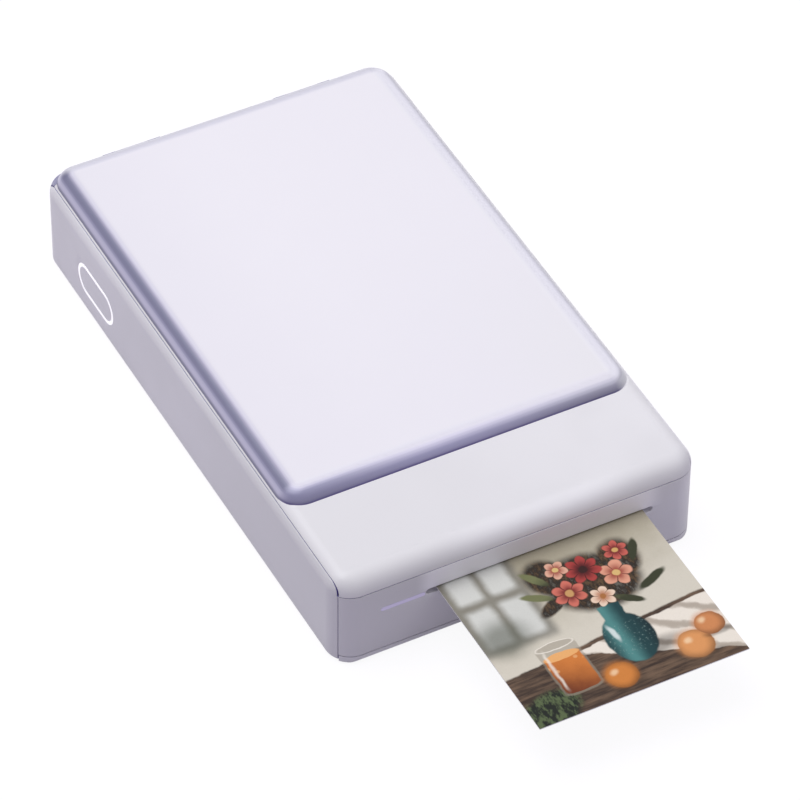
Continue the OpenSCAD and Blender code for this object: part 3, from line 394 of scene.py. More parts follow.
class Picture(Finish):
    """A finish painted in layers on the sheet, from the farthest thing to the nearest."""

    def __init__(self, name, ground):
        super().__init__(name)
        x, y, self.z = self.place()
        self.across = x - SHEET_LOW.x + 0.7 * (self.spread(2.2, 2.0) - 0.5)
        self.up = y - SHEET_LOW.y + 0.7 * (self.spread(2.6, 2.0) - 0.5)
        self.mottle = self.spread(4.0, 3.0)
        self.shade = ground

    def lay(self, colour, mask):
        """Paints a colour, linear or made by other nodes, where the mask is 1."""
        self.shade = self.mix(self.shade, colour, mask)

    def oval(self, cx, cy, rx, ry, lean=0.0, soft=0.1):
        """1 inside an oval that leans by some degrees, 0 outside."""
        c, s = math.cos(math.radians(lean)), math.sin(math.radians(lean))
        dx, dy = self.across - cx, self.up - cy
        a, b = (dx * (c / rx) + dy * (s / rx)), (dy * (c / ry) - dx * (s / ry))
        return (a * a + b * b).root().rise(1 + soft, 1 - soft)

    def block(self, left, right, low, high, soft=0.25):
        """1 inside an upright rectangle with soft edges."""
        return strip(self.across, left, right, soft) * strip(self.up, low, high, soft)

    def blossom(self, cx, cy, r, petals, lean, outer, inner, heart):
        dx, dy = self.across - cx, self.up - cy
        far = (dx * dx + dy * dy).root()
        lobes = abs(((dy.turn(dx) + lean) * (math.pi / 360 * petals)).sine())
        reach = far / (0.66 * r + 0.34 * r * lobes)
        shade = self.mix(hue(*inner), hue(*outer), reach.rise(0.25, 0.9) * (0.7 + 0.3 * lobes))
        folds = (1 - lobes).rise(0.72, 1.0) * reach.rise(0.2, 0.6)
        shade = self.mix(shade, scaled(hue(*inner), 0.45), folds)
        shade = self.mix(shade, hue(*heart), far.rise(0.3 * r, 0.2 * r))
        self.lay(shade, reach.rise(1.06, 0.94))


def strip(value, low, high, soft=0.25):
    """1 where a value lies between two others, with soft ends."""
    return value.rise(low - soft, low + soft) * value.rise(high + soft, high - soft)


def paint_room(p):
    """Light on a plastered wall, a window out of focus, and a table with a cloth and greens on it."""
    across, up, mottle = p.across, p.up, p.mottle
    p.lay(hue(210, 204, 190), (40.0 - up + 0.2 * across + 8.0 * (mottle - 0.5)).rise(0.0, 26.0))
    p.lay(hue(122, 120, 112), strip(across, -2.0, 17.4, 1.2) * strip(up, 22.5, 56.0, 1.4) * 0.8)
    columns = strip(across, 1.5, 7.5, 1.1) + strip(across, 9.4, 15.4, 1.1)
    p.lay(hue(206, 207, 202), columns * (strip(up, 24.5, 36.0, 1.2) + strip(up, 38.4, 52.0, 1.2)))
    p.lay(hue(92, 96, 84), p.oval(5.5, 26.0, 5.5, 5.0, 10, 0.6) * 0.7)
    edge = up - 0.10 * across + 0.8 * (mottle - 0.5)
    lines = p.spread(1.2, 4.0, 0.6, (0.12, 1.0, 1.0))
    p.lay(p.mix(hue(58, 44, 36), hue(112, 90, 72), lines.rise(0.35, 0.7)), edge.rise(15.4, 14.8))
    folds = ((across * 0.55 + up * 0.9 + 2.6 * mottle) * 1.1).sine()
    cloth = p.mix(hue(232, 224, 212), hue(160, 148, 134), folds.rise(0.1, 1.0) * 0.8)
    hem = up + 0.42 * across - 22.0 + 2.0 * (mottle - 0.5)
    p.lay(cloth, hem.rise(0.0, 0.5) * edge.rise(14.2, 13.8))
    p.lay((0.02, 0.012, 0.01), p.oval(31.0, 9.4, 9.0, 2.4, 4, 0.5) * 0.55)
    leafy = p.spread(1.1, 3.0, 0.6, (1.0, 0.45, 1.0)).rise(0.42, 0.6)
    p.lay(p.mix(hue(26, 32, 24), hue(86, 100, 66), leafy), p.oval(4.0, 2.5, 8.5, 5.2, 24, 0.18))


def paint_jug(p):
    """A teal jug with twigs, leaves and blossoms in it."""
    twigs = p.spread(1.2, 4.0, 0.7, (1.0, 0.5, 1.0))
    dark = p.mix(hue(26, 20, 16), hue(92, 72, 50), twigs.rise(0.42, 0.7))
    bush = p.oval(30.5, 32.5, 11.0, 8.5, -14, 0.16)
    for clump in ((22.5, 37.5, 5.0, 6.0, 30), (38.5, 35.5, 5.0, 6.5, -24), (20.0, 30.0, 4.5, 1.8, 28)):
        bush = bush.most(p.oval(*clump, 0.2))
    p.lay(dark, bush * (0.8 + 0.2 * twigs.rise(0.3, 0.5)))
    for leaf in LEAVES:
        lit = (p.up - 0.3 * p.across + 4.0 * p.mottle).rise(leaf[1] - 8, leaf[1] - 4)
        p.lay(p.mix(hue(54, 58, 38), hue(112, 116, 78), lit), p.oval(*leaf, 0.2))
    glaze = p.mix(hue(24, 62, 66), hue(86, 146, 144), strip(p.across, 26.6, 29.4, 2.4))
    glaze = p.mix(glaze, hue(14, 36, 42), p.across.rise(32.0, 35.4) * 0.8)
    flecks = p.spread(0.7, 3.0, 0.7).rise(0.56, 0.7)
    glaze = p.mix(glaze, hue(150, 178, 172), flecks * strip(p.up, 10.0, 19.0) * 0.45)
    p.lay(glaze, p.oval(30.0, 14.5, 5.6, 7.4, 0, 0.05).most(p.block(27.4, 32.6, 19.0, 25.0)))
    p.lay(hue(224, 234, 232), p.oval(27.2, 17.0, 0.6, 2.4, 8, 0.5) * 0.8)
    for bloom in BLOSSOMS:
        p.blossom(*bloom)


def paint_tumbler(p):
    """A glass with an amber drink in it."""
    def level(up, rx, ry, soft=0.1):
        return p.oval(14.1, up, rx, ry, 0, soft)

    glass = p.block(9.4, 18.8, 6.2, 19.6, 0.2).most(level(6.2, 4.7, 1.3)).most(level(19.6, 4.7, 1.3))
    p.lay(hue(150, 140, 124), glass * 0.55)
    light = (p.up + 0.5 * p.across + 5.0 * p.mottle).rise(12.0, 26.0)
    drink = p.mix(hue(104, 44, 18), hue(206, 122, 54), light)
    bubbles = p.cells(2.2).rise(0.34, 0.2) * strip(p.up, 12.0, 15.4, 0.8)
    drink = p.mix(drink, hue(240, 196, 140), bubbles * 0.5)
    p.lay(drink, p.block(9.9, 18.3, 6.6, 16.4, 0.2).most(level(6.6, 4.2, 1.1)))
    p.lay(hue(232, 172, 108), level(16.4, 4.2, 1.1, 0.08))
    rim = level(19.6, 4.7, 1.3, 0.06) - level(19.6, 4.3, 1.0, 0.08)
    p.lay(hue(236, 230, 218), rim * 0.8)
    p.lay(hue(240, 234, 222), strip(p.across, 10.5, 11.1, 0.3) * strip(p.up, 7.4, 18.6, 1.5) * 0.7)


def paint_fruit(p):
    for cx, cy, r, peel in FRUIT:
        p.lay((0.02, 0.012, 0.008), p.oval(cx + 0.6, cy - r + 0.4, r, 0.9, 0, 0.5) * 0.5)
        p.lay(scaled(hue(*peel), 0.35), p.oval(cx, cy, r, r, 0, 0.04))
        p.lay(hue(*peel), p.oval(cx - 0.3, cy + 0.4, 0.92 * r, 0.9 * r, 0, 0.45))
        p.lay(hue(250, 224, 184), p.oval(cx - 1.2, cy + 1.5, 0.9, 0.7, 30, 0.7) * 0.6)


def print_finish():
    """A glossy print of a still life, with white paper at its edges and below."""
    p = Picture("print_gloss", hue(166, 159, 139))
    for layer in (paint_room, paint_jug, paint_tumbler, paint_fruit):
        layer(p)
    p.lay((0.0, 0.0, 0.0), (p.spread(0.35, 3.0, 0.7) - 0.5).most(0.0) * 0.22)
    p.lay(hue(244, 243, 240), p.z.rise(SHEET_HIGH.z - 0.02, SHEET_HIGH.z - 0.06))
    return p.wear(
        Base_Color=p.shade,
        Roughness=0.34 + 0.05 * (p.mottle - 0.5),
        Normal=p.bump(p.spread(1.4, 2.0), 0.002),
        Specular_IOR_Level=0.35,
    )


# ---- the cover's lacquer ----
# Painted shade and painted reflections round the pillow edge: degrees up its quarter round, then the display
# values of a colour. The front edge changes from START at its left end to END at its right one.
PEARL_END = 112.5
PEARL_LEFT = [(10, 124, 122, 144), (18, 104, 102, 130), (23, 134, 133, 158), (31, 186, 183, 206),
              (37, 193, 190, 212), (43, 184, 182, 205), (50, 148, 147, 174), (57, 123, 122, 149),
              (66, 116, 116, 143), (72, 120, 120, 146), (79, 152, 150, 174), (85, 193, 190, 209),
              (92, 216, 214, 228), (108, 229, 227, 235)]
PEARL_FRONT = [(22, 108, 100, 148), (27, 156, 152, 188), (32, 167, 164, 198), (44, 163, 161, 194),
               (54, 179, 176, 205), (64, 198, 195, 218), (73, 216, 213, 231), (84, 225, 223, 234),
               (106, 231, 230, 239)]
PEARL_FRONT_START = [(22, 106, 98, 146), (27, 138, 135, 168), (32, 145, 143, 174), (44, 142, 140, 171),
                     (54, 141, 139, 170), (65, 145, 144, 174), (73, 170, 168, 195), (81, 205, 203, 221),
                     (90, 223, 221, 233), (106, 231, 230, 239)]
PEARL_FRONT_END = [(22, 106, 100, 140), (27, 143, 141, 163), (34, 152, 150, 172), (44, 158, 156, 176),
                   (54, 182, 181, 198), (66, 205, 203, 218), (76, 224, 222, 232), (106, 233, 231, 239)]
PEARL_RIGHT = [(24, 214, 214, 220), (44, 208, 208, 216), (51, 196, 195, 206), (57, 212, 211, 222),
               (64, 230, 229, 240), (72, 235, 234, 244), (88, 230, 229, 238), (106, 235, 234, 240)]
PEARL_BACK = [(60, 206, 205, 216), (78, 213, 212, 222), (90, 217, 216, 228), (108, 234, 232, 240)]
# painted shade on the cover's face, towards its left and front, and at its front right corner
PEARL_PAINTED_SHADE = hue(231, 229, 237)
PEARL_FACE = hue(236, 234, 241)
PEARL_CORNER_PAINTED_SHADE = hue(233, 232, 236)


def pearl_finish():
    """Pearl lacquer on the cover: a pale face, and violet bands of painted shade and painted reflection where
    the pillow edge turns down.
    """
    f = Finish("pearl_lacquer")
    x, y, z = f.place()
    half_w = (COVER_HIGH.x - COVER_LOW.x) / 2
    half_l = (COVER_HIGH.y - COVER_LOW.y) / 2
    mid_y = (COVER_HIGH.y + COVER_LOW.y) / 2
    over_x = abs(x) - (half_w - COVER_CORNER_R)
    over_y = abs(y - mid_y) - (half_l - COVER_CORNER_R)
    out_x, out_y = over_x.most(0.0), over_y.most(0.0)
    inside = over_x.most(over_y).least(0.0)
    depth_in = COVER_CORNER_R - inside - (out_x * out_x + out_y * out_y).root()
    way_up = (z - (COVER_HIGH.z - COVER_EDGE_R)).turn(COVER_EDGE_R - depth_in) / PEARL_END

    # how far a corner has turned from its end of the cover to its side
    share = out_x / (out_x + out_y + 0.01)
    near_front = y.rise(mid_y + 1, mid_y - 1)
    on_right = x.rise(-1.0, 1.0)
    at_front = share.rise(0.5, 0.97) * (1 - on_right) + share.rise(0.12, 0.5) * on_right
    sideways = share.rise(0.3, 0.8) * (1 - near_front) + at_front * near_front

    def painted_bands(stops):
        return f.ramp(way_up, [(angle / PEARL_END, hue(*colour)) for angle, *colour in stops])

    # painted shade and painted reflections round the edge: a dark base, a painted highlight and a dark band
    # on the left, dark violet at the front, paler at the back and right
    front = f.mix(painted_bands(PEARL_FRONT_START), painted_bands(PEARL_FRONT), x.rise(4.0 - half_w, -6.0))
    front = f.mix(front, painted_bands(PEARL_FRONT_END), x.rise(-5.0, half_w - 2))
    ends = f.mix(front, painted_bands(PEARL_BACK), y.rise(mid_y - 1, mid_y + 1))
    sides = f.mix(painted_bands(PEARL_LEFT), painted_bands(PEARL_RIGHT), on_right)
    turned = f.mix(ends, sides, sideways)
    # painted shade on the face: darker towards the left, the front and the front right corner
    face = f.mix(PEARL_PAINTED_SHADE, PEARL_FACE, (x + 6.0 * (f.spread(30.0, 2.0) - 0.5)).rise(-46.0, -4.0))
    face = f.mix(face, PEARL_PAINTED_SHADE, y.rise(mid_y + 20, COVER_LOW.y) * 0.5)
    face = f.mix(face, PEARL_CORNER_PAINTED_SHADE, x.rise(5.0, half_w) * y.rise(mid_y, COVER_LOW.y + 6) * 0.8)
    shade = f.mix(turned, face, depth_in.rise(4.4, 5.6))
    # the pearl's flakes, screened a little towards white as a painted glint
    flake_glints = f.cells(0.16).rise(0.22, 0.05) * depth_in.rise(2.0, 5.0)
    shade = f.mix(shade, (1.0, 1.0, 1.0), flake_glints * 0.06, "SCREEN")
    return f.wear(
        Base_Color=shade,
        Metallic=0.06,
        Roughness=0.36 + 0.06 * (f.spread(9.0, 3.0) - 0.5),
        Normal=f.bump(f.spread(0.3, 3.0), 0.002),
        Coat_Weight=0.2,
        Coat_Roughness=0.28,
    )


def make_finishes():
    return {
        # both shells take painted shade at the front left corner and painted light above the slot
        "shell_plastic": moulded("shell_plastic_finish", SHELL_WHITE, painted_shade=0.05),
        "panel_plastic": moulded("panel_plastic_finish", SHELL_WHITE, painted_shade=0.12),
        "seam_plastic": moulded("seam_plastic_finish", SEAM_VIOLET, 0.6),
        "pearl_plastic": pearl_finish(),
        "tail_lacquer": moulded("tail_lacquer_finish", hue(150, 149, 176), 0.36, depth=0.002),
        "black_plastic": moulded("black_plastic_finish", (0.03, 0.03, 0.034), 0.5, depth=0.01),
        "white_plastic": moulded("lit_ring_finish", hue(250, 250, 251), 0.3, depth=0.002, lit=(0.42,) * 3),
        "light_guide": moulded("light_guide_finish", hue(186, 178, 206), 0.3, depth=0.002, lit=GUIDE_LIGHT),
        "acetal": moulded("acetal_finish", hue(232, 230, 220), 0.36),
        "steel": brushed("zinc_plated_finish", (0.62, 0.63, 0.65)),
        "spring_steel": brushed("spring_steel_finish", (0.56, 0.56, 0.57), 0.22, (1.0, 0.05, 1.0)),
        "magnet_nickel": brushed("nickel_finish", (0.74, 0.73, 0.71), 0.16),
        "brass": brushed("brass_finish", (0.80, 0.60, 0.28), 0.26),
        "black_rubber": rubbery("black_rubber_finish", (0.02, 0.02, 0.022)),
        "head_ceramic": moulded("ceramic_finish", hue(228, 220, 200), 0.2, depth=0.001),
        "aluminium": brushed("aluminium_finish", (0.80, 0.80, 0.81), 0.34),
        "cell_wrap": moulded("cell_wrap_finish", (0.30, 0.33, 0.38), 0.3, 0.6),
        "circuit_board": moulded("circuit_board_finish", (0.02, 0.11, 0.06), 0.35, 0.3),
        "chip_black": moulded("chip_finish", (0.02, 0.02, 0.022), 0.55, 0.1),
        "cork_pad": moulded("cork_finish", (0.30, 0.17, 0.09), 0.8, 0.4, 0.05, 0.2),
        "photo_paper": print_finish(),
    }


FINISHES = make_finishes()
for part in frame["record"]["subparts"]:
    coated = NODES[part["node"]].data.materials
    coated.clear()
    coated.append(FINISHES[part["material_slot"]])


# ---- mesh helpers ----
SHARP = 32.0


def link(name, data):
    """An object of some data, in the scene."""
    obj = bpy.data.objects.new(name, data)
    bpy.context.scene.collection.objects.link(obj)
    return obj


def evaluated(obj):
    """A new mesh with the object's modifiers applied."""
    bpy.context.view_layer.update()
    graph = bpy.context.evaluated_depsgraph_get()
    return bpy.data.meshes.new_from_object(obj.evaluated_get(graph))


def solid(name, points, faces, finish, hidden=(), hidden_finish=None):
    """A mesh object from points in millimetres; the faces numbered in hidden take hidden_finish."""
    mesh = bpy.data.meshes.new(name)
    mesh.from_pydata([tuple(v * MM for v in p) for p in points], [], faces)
    mesh.materials.append(finish)
    if hidden_finish is not None:
        mesh.materials.append(hidden_finish)
        for index in hidden:
            mesh.polygons[index].material_index = 1
    obj = link(name, mesh)
    face_outwards(mesh)
    soften(mesh)
    return obj


def face_outwards(mesh):
    """Welds a mesh, cuts its caps into triangles and turns its faces to the outside."""
    bm = bmesh.new()
    bm.from_mesh(mesh)
    bmesh.ops.remove_doubles(bm, verts=bm.verts, dist=0.0005 * MM)
    caps = [face for face in bm.faces if len(face.verts) > 4]
    bmesh.ops.triangulate(bm, faces=caps, ngon_method="EAR_CLIP")
    bmesh.ops.recalc_face_normals(bm, faces=bm.faces)
    if bm.calc_volume(signed=True) < 0:
        bmesh.ops.reverse_faces(bm, faces=bm.faces)
    bm.to_mesh(mesh)
    bm.free()


def soften(mesh):
    """Smooth shading, except over edges sharper than SHARP degrees."""
    mesh.polygons.foreach_set("use_smooth", [True] * len(mesh.polygons))
    mesh.set_sharp_from_angle(angle=math.radians(SHARP))


def loft(name, sections, finish=None, hidden=None, hidden_finish=None):
    """A closed solid through sections, each a loop with the same number of points.

    hidden(i, k) says whether the face after section i and point k lies inside a seam, and hidden(-1, 0)
    whether the two end caps do.
    """
    count = len(sections[0])
    points = [p for section in sections for p in section]
    faces, inside = [], []
    for i in range(len(sections) - 1):
        for k in range(count):
            n = (k + 1) % count
            if hidden and hidden(i, k):
                inside.append(len(faces))
            faces.append((i * count + k, i * count + n, (i + 1) * count + n, (i + 1) * count + k))
    faces.append(tuple(range(count)))
    faces.append(tuple(range((len(sections) - 1) * count, len(sections) * count)))
    if hidden and hidden(-1, 0):
        inside += [len(faces) - 2, len(faces) - 1]
    return solid(name, points, faces, finish, inside, hidden_finish)


def carve(target, tool, operation="DIFFERENCE"):
    """Cuts tool out of target or joins it on, and deletes the tool."""
    cut = target.modifiers.new("carve", "BOOLEAN")
    cut.operation = operation
    cut.solver = "EXACT"
    cut.object = tool
    made = evaluated(target)
    target.modifiers.clear()
    target.data = made
    soften(made)
    bpy.data.objects.remove(tool)


def arc(cx, cy, r, start=0.0, sweep=360.0, steps=32):
    """Points of an arc in degrees, or of a circle that doesn't repeat its first point."""
    turns = [math.radians(start + sweep * k / steps) for k in range(steps + (sweep < 360))]
    return [(cx + r * math.cos(a), cy + r * math.sin(a)) for a in turns]


def stadium(length, height, grow=0.0):
    """Outline of a slot with round ends, as (along, up) points."""
    reach, r = (length - height) / 2, height / 2 + grow
    return arc(reach, 0, r, -90, 180, 16) + arc(-reach, 0, r, 90, 180, 16)


def rounded_plan(x0, x1, y0, y1, r):
    corners = ((x1 - r, y1 - r, 0), (x0 + r, y1 - r, 90), (x0 + r, y0 + r, 180), (x1 - r, y0 + r, 270))
    return [point for cx, cy, start in corners for point in arc(cx, cy, r, start, 90, 8)]


def prism(name, outline, z0, z1):
    return loft(name, [[(x, y, z) for x, y in outline] for z in (z0, z1)])


def bar(outline, x0, x1):
    """Prism along x through an outline of (y, z) points."""
    return loft("bar", [[(x, y, z) for y, z in outline] for x in (x0, x1)])


def peg(x, y, z0, z1, r, steps):
    return prism("peg", arc(x, y, r, steps=steps), z0, z1)


ACROSS, INTO, UP = Vector((1, 0, 0)), Vector((0, 1, 0)), Vector((0, 0, 1))
LIP_STEPS = 4


def lip_sections(depth):
    """(growth, depth below the face) of a hole whose mouth is rounded by LIP_R."""
    mouth = []
    for k in range(LIP_STEPS + 1):
        below = LIP_R * k / LIP_STEPS
        mouth.append((LIP_R - math.sqrt(LIP_R ** 2 - (LIP_R - below) ** 2), below))
    return [(LIP_R, -1.0)] + mouth + [(0.0, depth)]


def mouth_through(place, along, inward, length, height, depth):
    """Tool for a round-ended opening: place is its middle on the face."""
    return loft("mouth", [[place + along * a + UP * u + inward * below
                           for a, u in stadium(length, height, grow)] for grow, below in lip_sections(depth)])


# ---- the smooth form of the body ----
# a corner takes the top round of the front or back over the turns past CORNER_EASE degrees
CORNER_EASE = 20.0
# all sections end this far inside the walls, on the flat deck
FLAT_INSET = 5.6
SOLE_RUN = math.pi / 2 * SOLE_R
HALF_SEAM = SEAM / 2
# a short face beside each lip, that keeps its shading off the wide ones
GUARD = 0.06
# points on the inner side of a panel's section, and on the inside and the lower edge of the deck's
INNER_POINTS = 10
DECK_INNER = 15
DECK_LEG = 7
CHEEK_TURN = math.degrees(math.asin(1 - CHEEK_Y / CORNER_R))
SEAM_TURN = math.degrees(HALF_SEAM / CORNER_R)
LIP_TURN = math.degrees(LIP_R / CORNER_R)
# the side seam lies where the shoulder's quarter round has come in by RIM_INSET
SIDE_SEAM_Z = DECK_Z - SHOULDER_R + math.sqrt(SHOULDER_R ** 2 - (SHOULDER_R - RIM_INSET) ** 2)
DECK_FOOT_Z = NOSE_SEAM_Z + HALF_SEAM
# along and down a rounded lip of radius LIP_R, from the skin round to the face of the seam
LIP = [(LIP_R * math.sin(math.pi / 2 * k / LIP_STEPS), LIP_R * (1 - math.cos(math.pi / 2 * k / LIP_STEPS)))
       for k in range(1, LIP_STEPS + 1)]


class Station:
    """A place on the body's plan outline, with the profile of the shell that stands on it."""

    def __init__(self, x, y, turn, sink=0.0):
        self.x, self.y, self.sink = x, y, sink
        self.nx, self.ny = math.cos(math.radians(turn)), math.sin(math.radians(turn))
        ease = math.degrees(math.asin(min(1.0, abs(self.ny)))) - CORNER_EASE
        ease = min(1.0, max(0.0, ease / (90 - CORNER_EASE)))
        end_r = NOSE_R if self.ny < 0 else HEEL_R
        self.top_r = SHOULDER_R + (end_r - SHOULDER_R) * ease * ease * (3 - 2 * ease)
        self.wall_top = DECK_Z - self.top_r
        self.wall_run = self.wall_top - (SOLE_Z + SOLE_R)
        self.depth = min(y - FRONT_Y, BACK_Y - y)

    def run_at(self, z):
        """How far up the profile the skin reaches a height."""
        if z <= self.wall_top:
            return SOLE_RUN + z - (SOLE_Z + SOLE_R)
        return SOLE_RUN + self.wall_run + self.top_r * math.asin(min(1.0, (z - self.wall_top) / self.top_r))

    def run_to_flat(self):
        return SOLE_RUN + self.wall_run + self.top_r * math.pi / 2 + FLAT_INSET - self.top_r

    def skin(self, run, sink=0.0):
        """Point of the skin after a run up the profile, moved inwards by sink.

        The run is 0 where the underside turns up into the sole's round, and negative on the underside.
        """
        if run < SOLE_RUN:
            turn = max(run / SOLE_R, 0.0) - math.pi / 2
            inset = SOLE_R * (1 - math.cos(turn)) - min(run, 0.0)
            z = SOLE_Z + SOLE_R * (1 + math.sin(turn))
        elif run < SOLE_RUN + self.wall_run:
            turn, inset, z = 0.0, 0.0, SOLE_Z + SOLE_R + run - SOLE_RUN
        else:
            curve = run - SOLE_RUN - self.wall_run
            turn = min(math.pi / 2, curve / self.top_r)
            inset = self.top_r * (1 - math.cos(turn)) + max(0.0, curve - self.top_r * math.pi / 2)
            z = DECK_Z - self.top_r * (1 - math.sin(turn))
        inset += sink * math.cos(turn)
        return Vector((self.x - self.nx * inset, self.y - self.ny * inset, z - sink * math.sin(turn)))

    def lipped(self, runs, low_lip=True, high_lip=True):
        """Skin points at some runs, with a rounded lip beyond the first and the last."""
        line = [(runs[0] - along, down) for along, down in reversed(LIP)] if low_lip else []
        line += [(run, 0.0) for run in runs]
        line += [(runs[-1] + along, down) for along, down in LIP] if high_lip else []
        return [self.skin(run, max(down, self.sink)) for run, down in line]


def between(start, end, pieces):
    """Values from start to end, both included."""
    return [start + (end - start) * k / pieces for k in range(pieces + 1)]


def stations(turns, along=4.0):
    """Stations anticlockwise at outward directions in degrees from +x, with more along straight sides."""
    centres = ((RIGHT_X - CORNER_R, BACK_Y - CORNER_R), (LEFT_X + CORNER_R, BACK_Y - CORNER_R),
               (LEFT_X + CORNER_R, FRONT_Y + CORNER_R), (RIGHT_X - CORNER_R, FRONT_Y + CORNER_R))
    made = []
    for turn, sink in turns:
        corner = int(turn // 90) % 4
        here = math.radians(turn)
        out = Vector((math.cos(here), math.sin(here)))
        end = Vector(centres[corner]) + out * CORNER_R
        if turn % 90 == 0 and made:
            begin = Vector(centres[(corner - 1) % 4]) + out * CORNER_R
            pieces = max(2, round((end - begin).length / along))
            made += [Station(*begin.lerp(end, k / pieces), turn) for k in range(pieces)]
        made.append(Station(*end, turn, sink))
    return made


def panel_stations(turn_from, turn_to):
    """Stations of a wall panel whose two upright edges are rounded by LIP_R."""
    first, last = turn_from + SEAM_TURN + LIP_TURN, turn_to - SEAM_TURN - LIP_TURN
    lip = [(math.degrees(along / CORNER_R), down) for along, down in LIP]
    turns = [(first - along, down) for along, down in reversed(lip)] + [(first, 0.0), (first + 0.4, 0.0)]
    turns += [(float(t), 0.0) for t in range(math.ceil(first + 0.5), math.floor(last - 0.5) + 1)]
    turns += [(last - 0.4, 0.0), (last, 0.0)] + [(last + along, down) for along, down in lip]
    return stations(turns)


def seam_run(station, grow):
    """Run at which the seam under the deck crosses the profile, moved towards the deck by grow."""
    across = (CHEEK_END_Y - station.depth) / (CHEEK_END_Y - CHEEK_Y + grow)
    reach = (1 - min(1.0, max(0.0, across)) ** CHEEK_POWER) ** (1 / CHEEK_POWER)
    return station.run_at(NOSE_SEAM_Z + (SIDE_SEAM_Z - NOSE_SEAM_Z) * reach) + grow


def cheek_section(station):
    """Loop round a side panel: from under the sole up to the seam, then down its inner face."""
    low = LIP_R - (WALL - SOLE_R)
    high = seam_run(station, -HALF_SEAM - LIP_R)
    wall_top = min(SOLE_RUN + station.wall_run, high - 1.0)
    runs = [low, low + GUARD] + between(0.0, SOLE_RUN, 7) + between(SOLE_RUN, wall_top, 8)[1:]
    runs += between(wall_top, high - GUARD, 18)[1:] + [high]
    step = min(high + LIP_R, station.run_at(NOSE_SEAM_Z - 0.3))
    inner = [station.skin(run, RIM_SKIN) for run in between(high + LIP_R, step, INNER_POINTS - 2)]
    return station.lipped(runs) + inner + [station.skin(step, WALL)]


def end_section(station):
    """Loop round the front or rear panel, between the sole and the deck."""
    low = station.run_at(SOLE_SEAM_Z) + HALF_SEAM + LIP_R
    high = seam_run(station, -HALF_SEAM - LIP_R)
    wall_top = min(SOLE_RUN + station.wall_run, high - 1.0)
    runs = [low] + between(low + GUARD, wall_top, 9) + between(wall_top, high - GUARD, 8)[1:] + [high]
    inner = [station.skin(run, WALL) for run in between(high + LIP_R, low - LIP_R, INNER_POINTS - 1)]
    return station.lipped(runs) + inner


def wall_panel(name, turn_from, turn_to, section):
    """A curved panel between two upright seams; what lies inside the seams is violet."""
    sections = [section(station) for station in panel_stations(turn_from, turn_to)]
    skin = len(sections[0]) - INNER_POINTS
    return loft(name, sections, FINISHES["panel_plastic"], lambda i, k: i < 0 or k >= skin - 1,
                FINISHES["seam_plastic"])


def middle_of(node):
    """Middle and size of a CAD node."""
    low, high = span(node)
    return (low + high) / 2, high - low


def make_side_panels():
    """The two side panels; the power ring's mouth is in the left one."""
    left = wall_panel("left_cheek", 180 - CHEEK_TURN, 180 + CHEEK_TURN, cheek_section)
    middle, size = middle_of("power_ring")
    place = Vector((LEFT_X, middle.y, middle.z))
    carve(left, mouth_through(place, INTO, ACROSS, size.y, size.z, WALL + 1))
    right = wall_panel("right_cheek", 360 - CHEEK_TURN, 360 + CHEEK_TURN, cheek_section)
    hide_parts("left_side_panel")
    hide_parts("right_side_panel")
    return [left, right]


def make_front_panel():
    """The front panel: a blind recess with the sheet's slot in its floor, and the light guide's mouth."""
    panel = wall_panel("nose_panel", 180 + CHEEK_TURN, 360 - CHEEK_TURN, end_section)
    sheet, size = middle_of("print_sheet")
    slot = Vector((sheet.x - 0.1, FRONT_Y, sheet.z - SLOT_DROP))
    carve(panel, mouth_through(slot, ACROSS, INTO, size.x + 2 * SLOT_END, SLOT_H, SLOT_DEPTH))
    carve(panel, mouth_through(slot, ACROSS, INTO, size.x + 2 * SLOT_PLAY, SLOT_H - 2 * LIP_R, WALL + 1))
    light, size = middle_of("status_light")
    place = Vector((light.x, FRONT_Y, light.z))
    carve(panel, mouth_through(place, ACROSS, INTO, size.x, size.z, WALL + 1))
    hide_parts("front_panel")
    return [panel]


def make_rear_panel():
    """The rear panel, with the charging socket's mouth and the reset hole."""
    panel = wall_panel("tail_panel", CHEEK_TURN, 180 - CHEEK_TURN, end_section)
    socket, size = middle_of("usb_socket")
    place = Vector((socket.x, BACK_Y, socket.z))
    length, height = size.x + 2 * SOCKET_PLAY, size.z + 2 * SOCKET_PLAY
    carve(panel, mouth_through(place, ACROSS, -INTO, length, height, WALL + 1))
    hole = Vector((socket.x + RESET_X, BACK_Y, socket.z))
    carve(panel, mouth_through(hole, ACROSS, -INTO, RESET_H + 0.01, RESET_H, WALL + 1))
    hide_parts("rear_panel")
    return [panel]


def deck_section(station):
    """Points of the deck's section, from under its top round to the top face."""
    low = seam_run(station, HALF_SEAM + LIP_R)
    high = station.run_to_flat()
    lip_end = low - LIP_R
    foot = station.run_at(DECK_FOOT_Z)
    inner = [station.skin(run, WALL) for run in between(high, foot, DECK_INNER - 1)]
    leg = [station.skin(run, RIM_SKIN + SEAM) for run in between(min(foot, lip_end), lip_end, DECK_LEG - 1)]
    section = inner + leg + station.lipped([low] + between(low + GUARD, high, 28), high_lip=False)
    for point in section:
        point.z = max(point.z, DECK_FOOT_Z)
    return section


def deck_stations():
    """Every degree round the plan, closer where the side seam turns down into the upright one."""
    drop = math.degrees(math.asin(1 - (CHEEK_Y - HALF_SEAM - LIP_R) / CORNER_R))
    turns = {float(t) for t in range(361)}
    for back in (0.0, 0.02, 0.06, 0.14, 0.3, 0.55):
        turns |= {drop - back, 180 - drop + back, 180 + drop - back, 360 - drop + back}
    return stations([(turn, 0.0) for turn in sorted(turns)])[:-1]


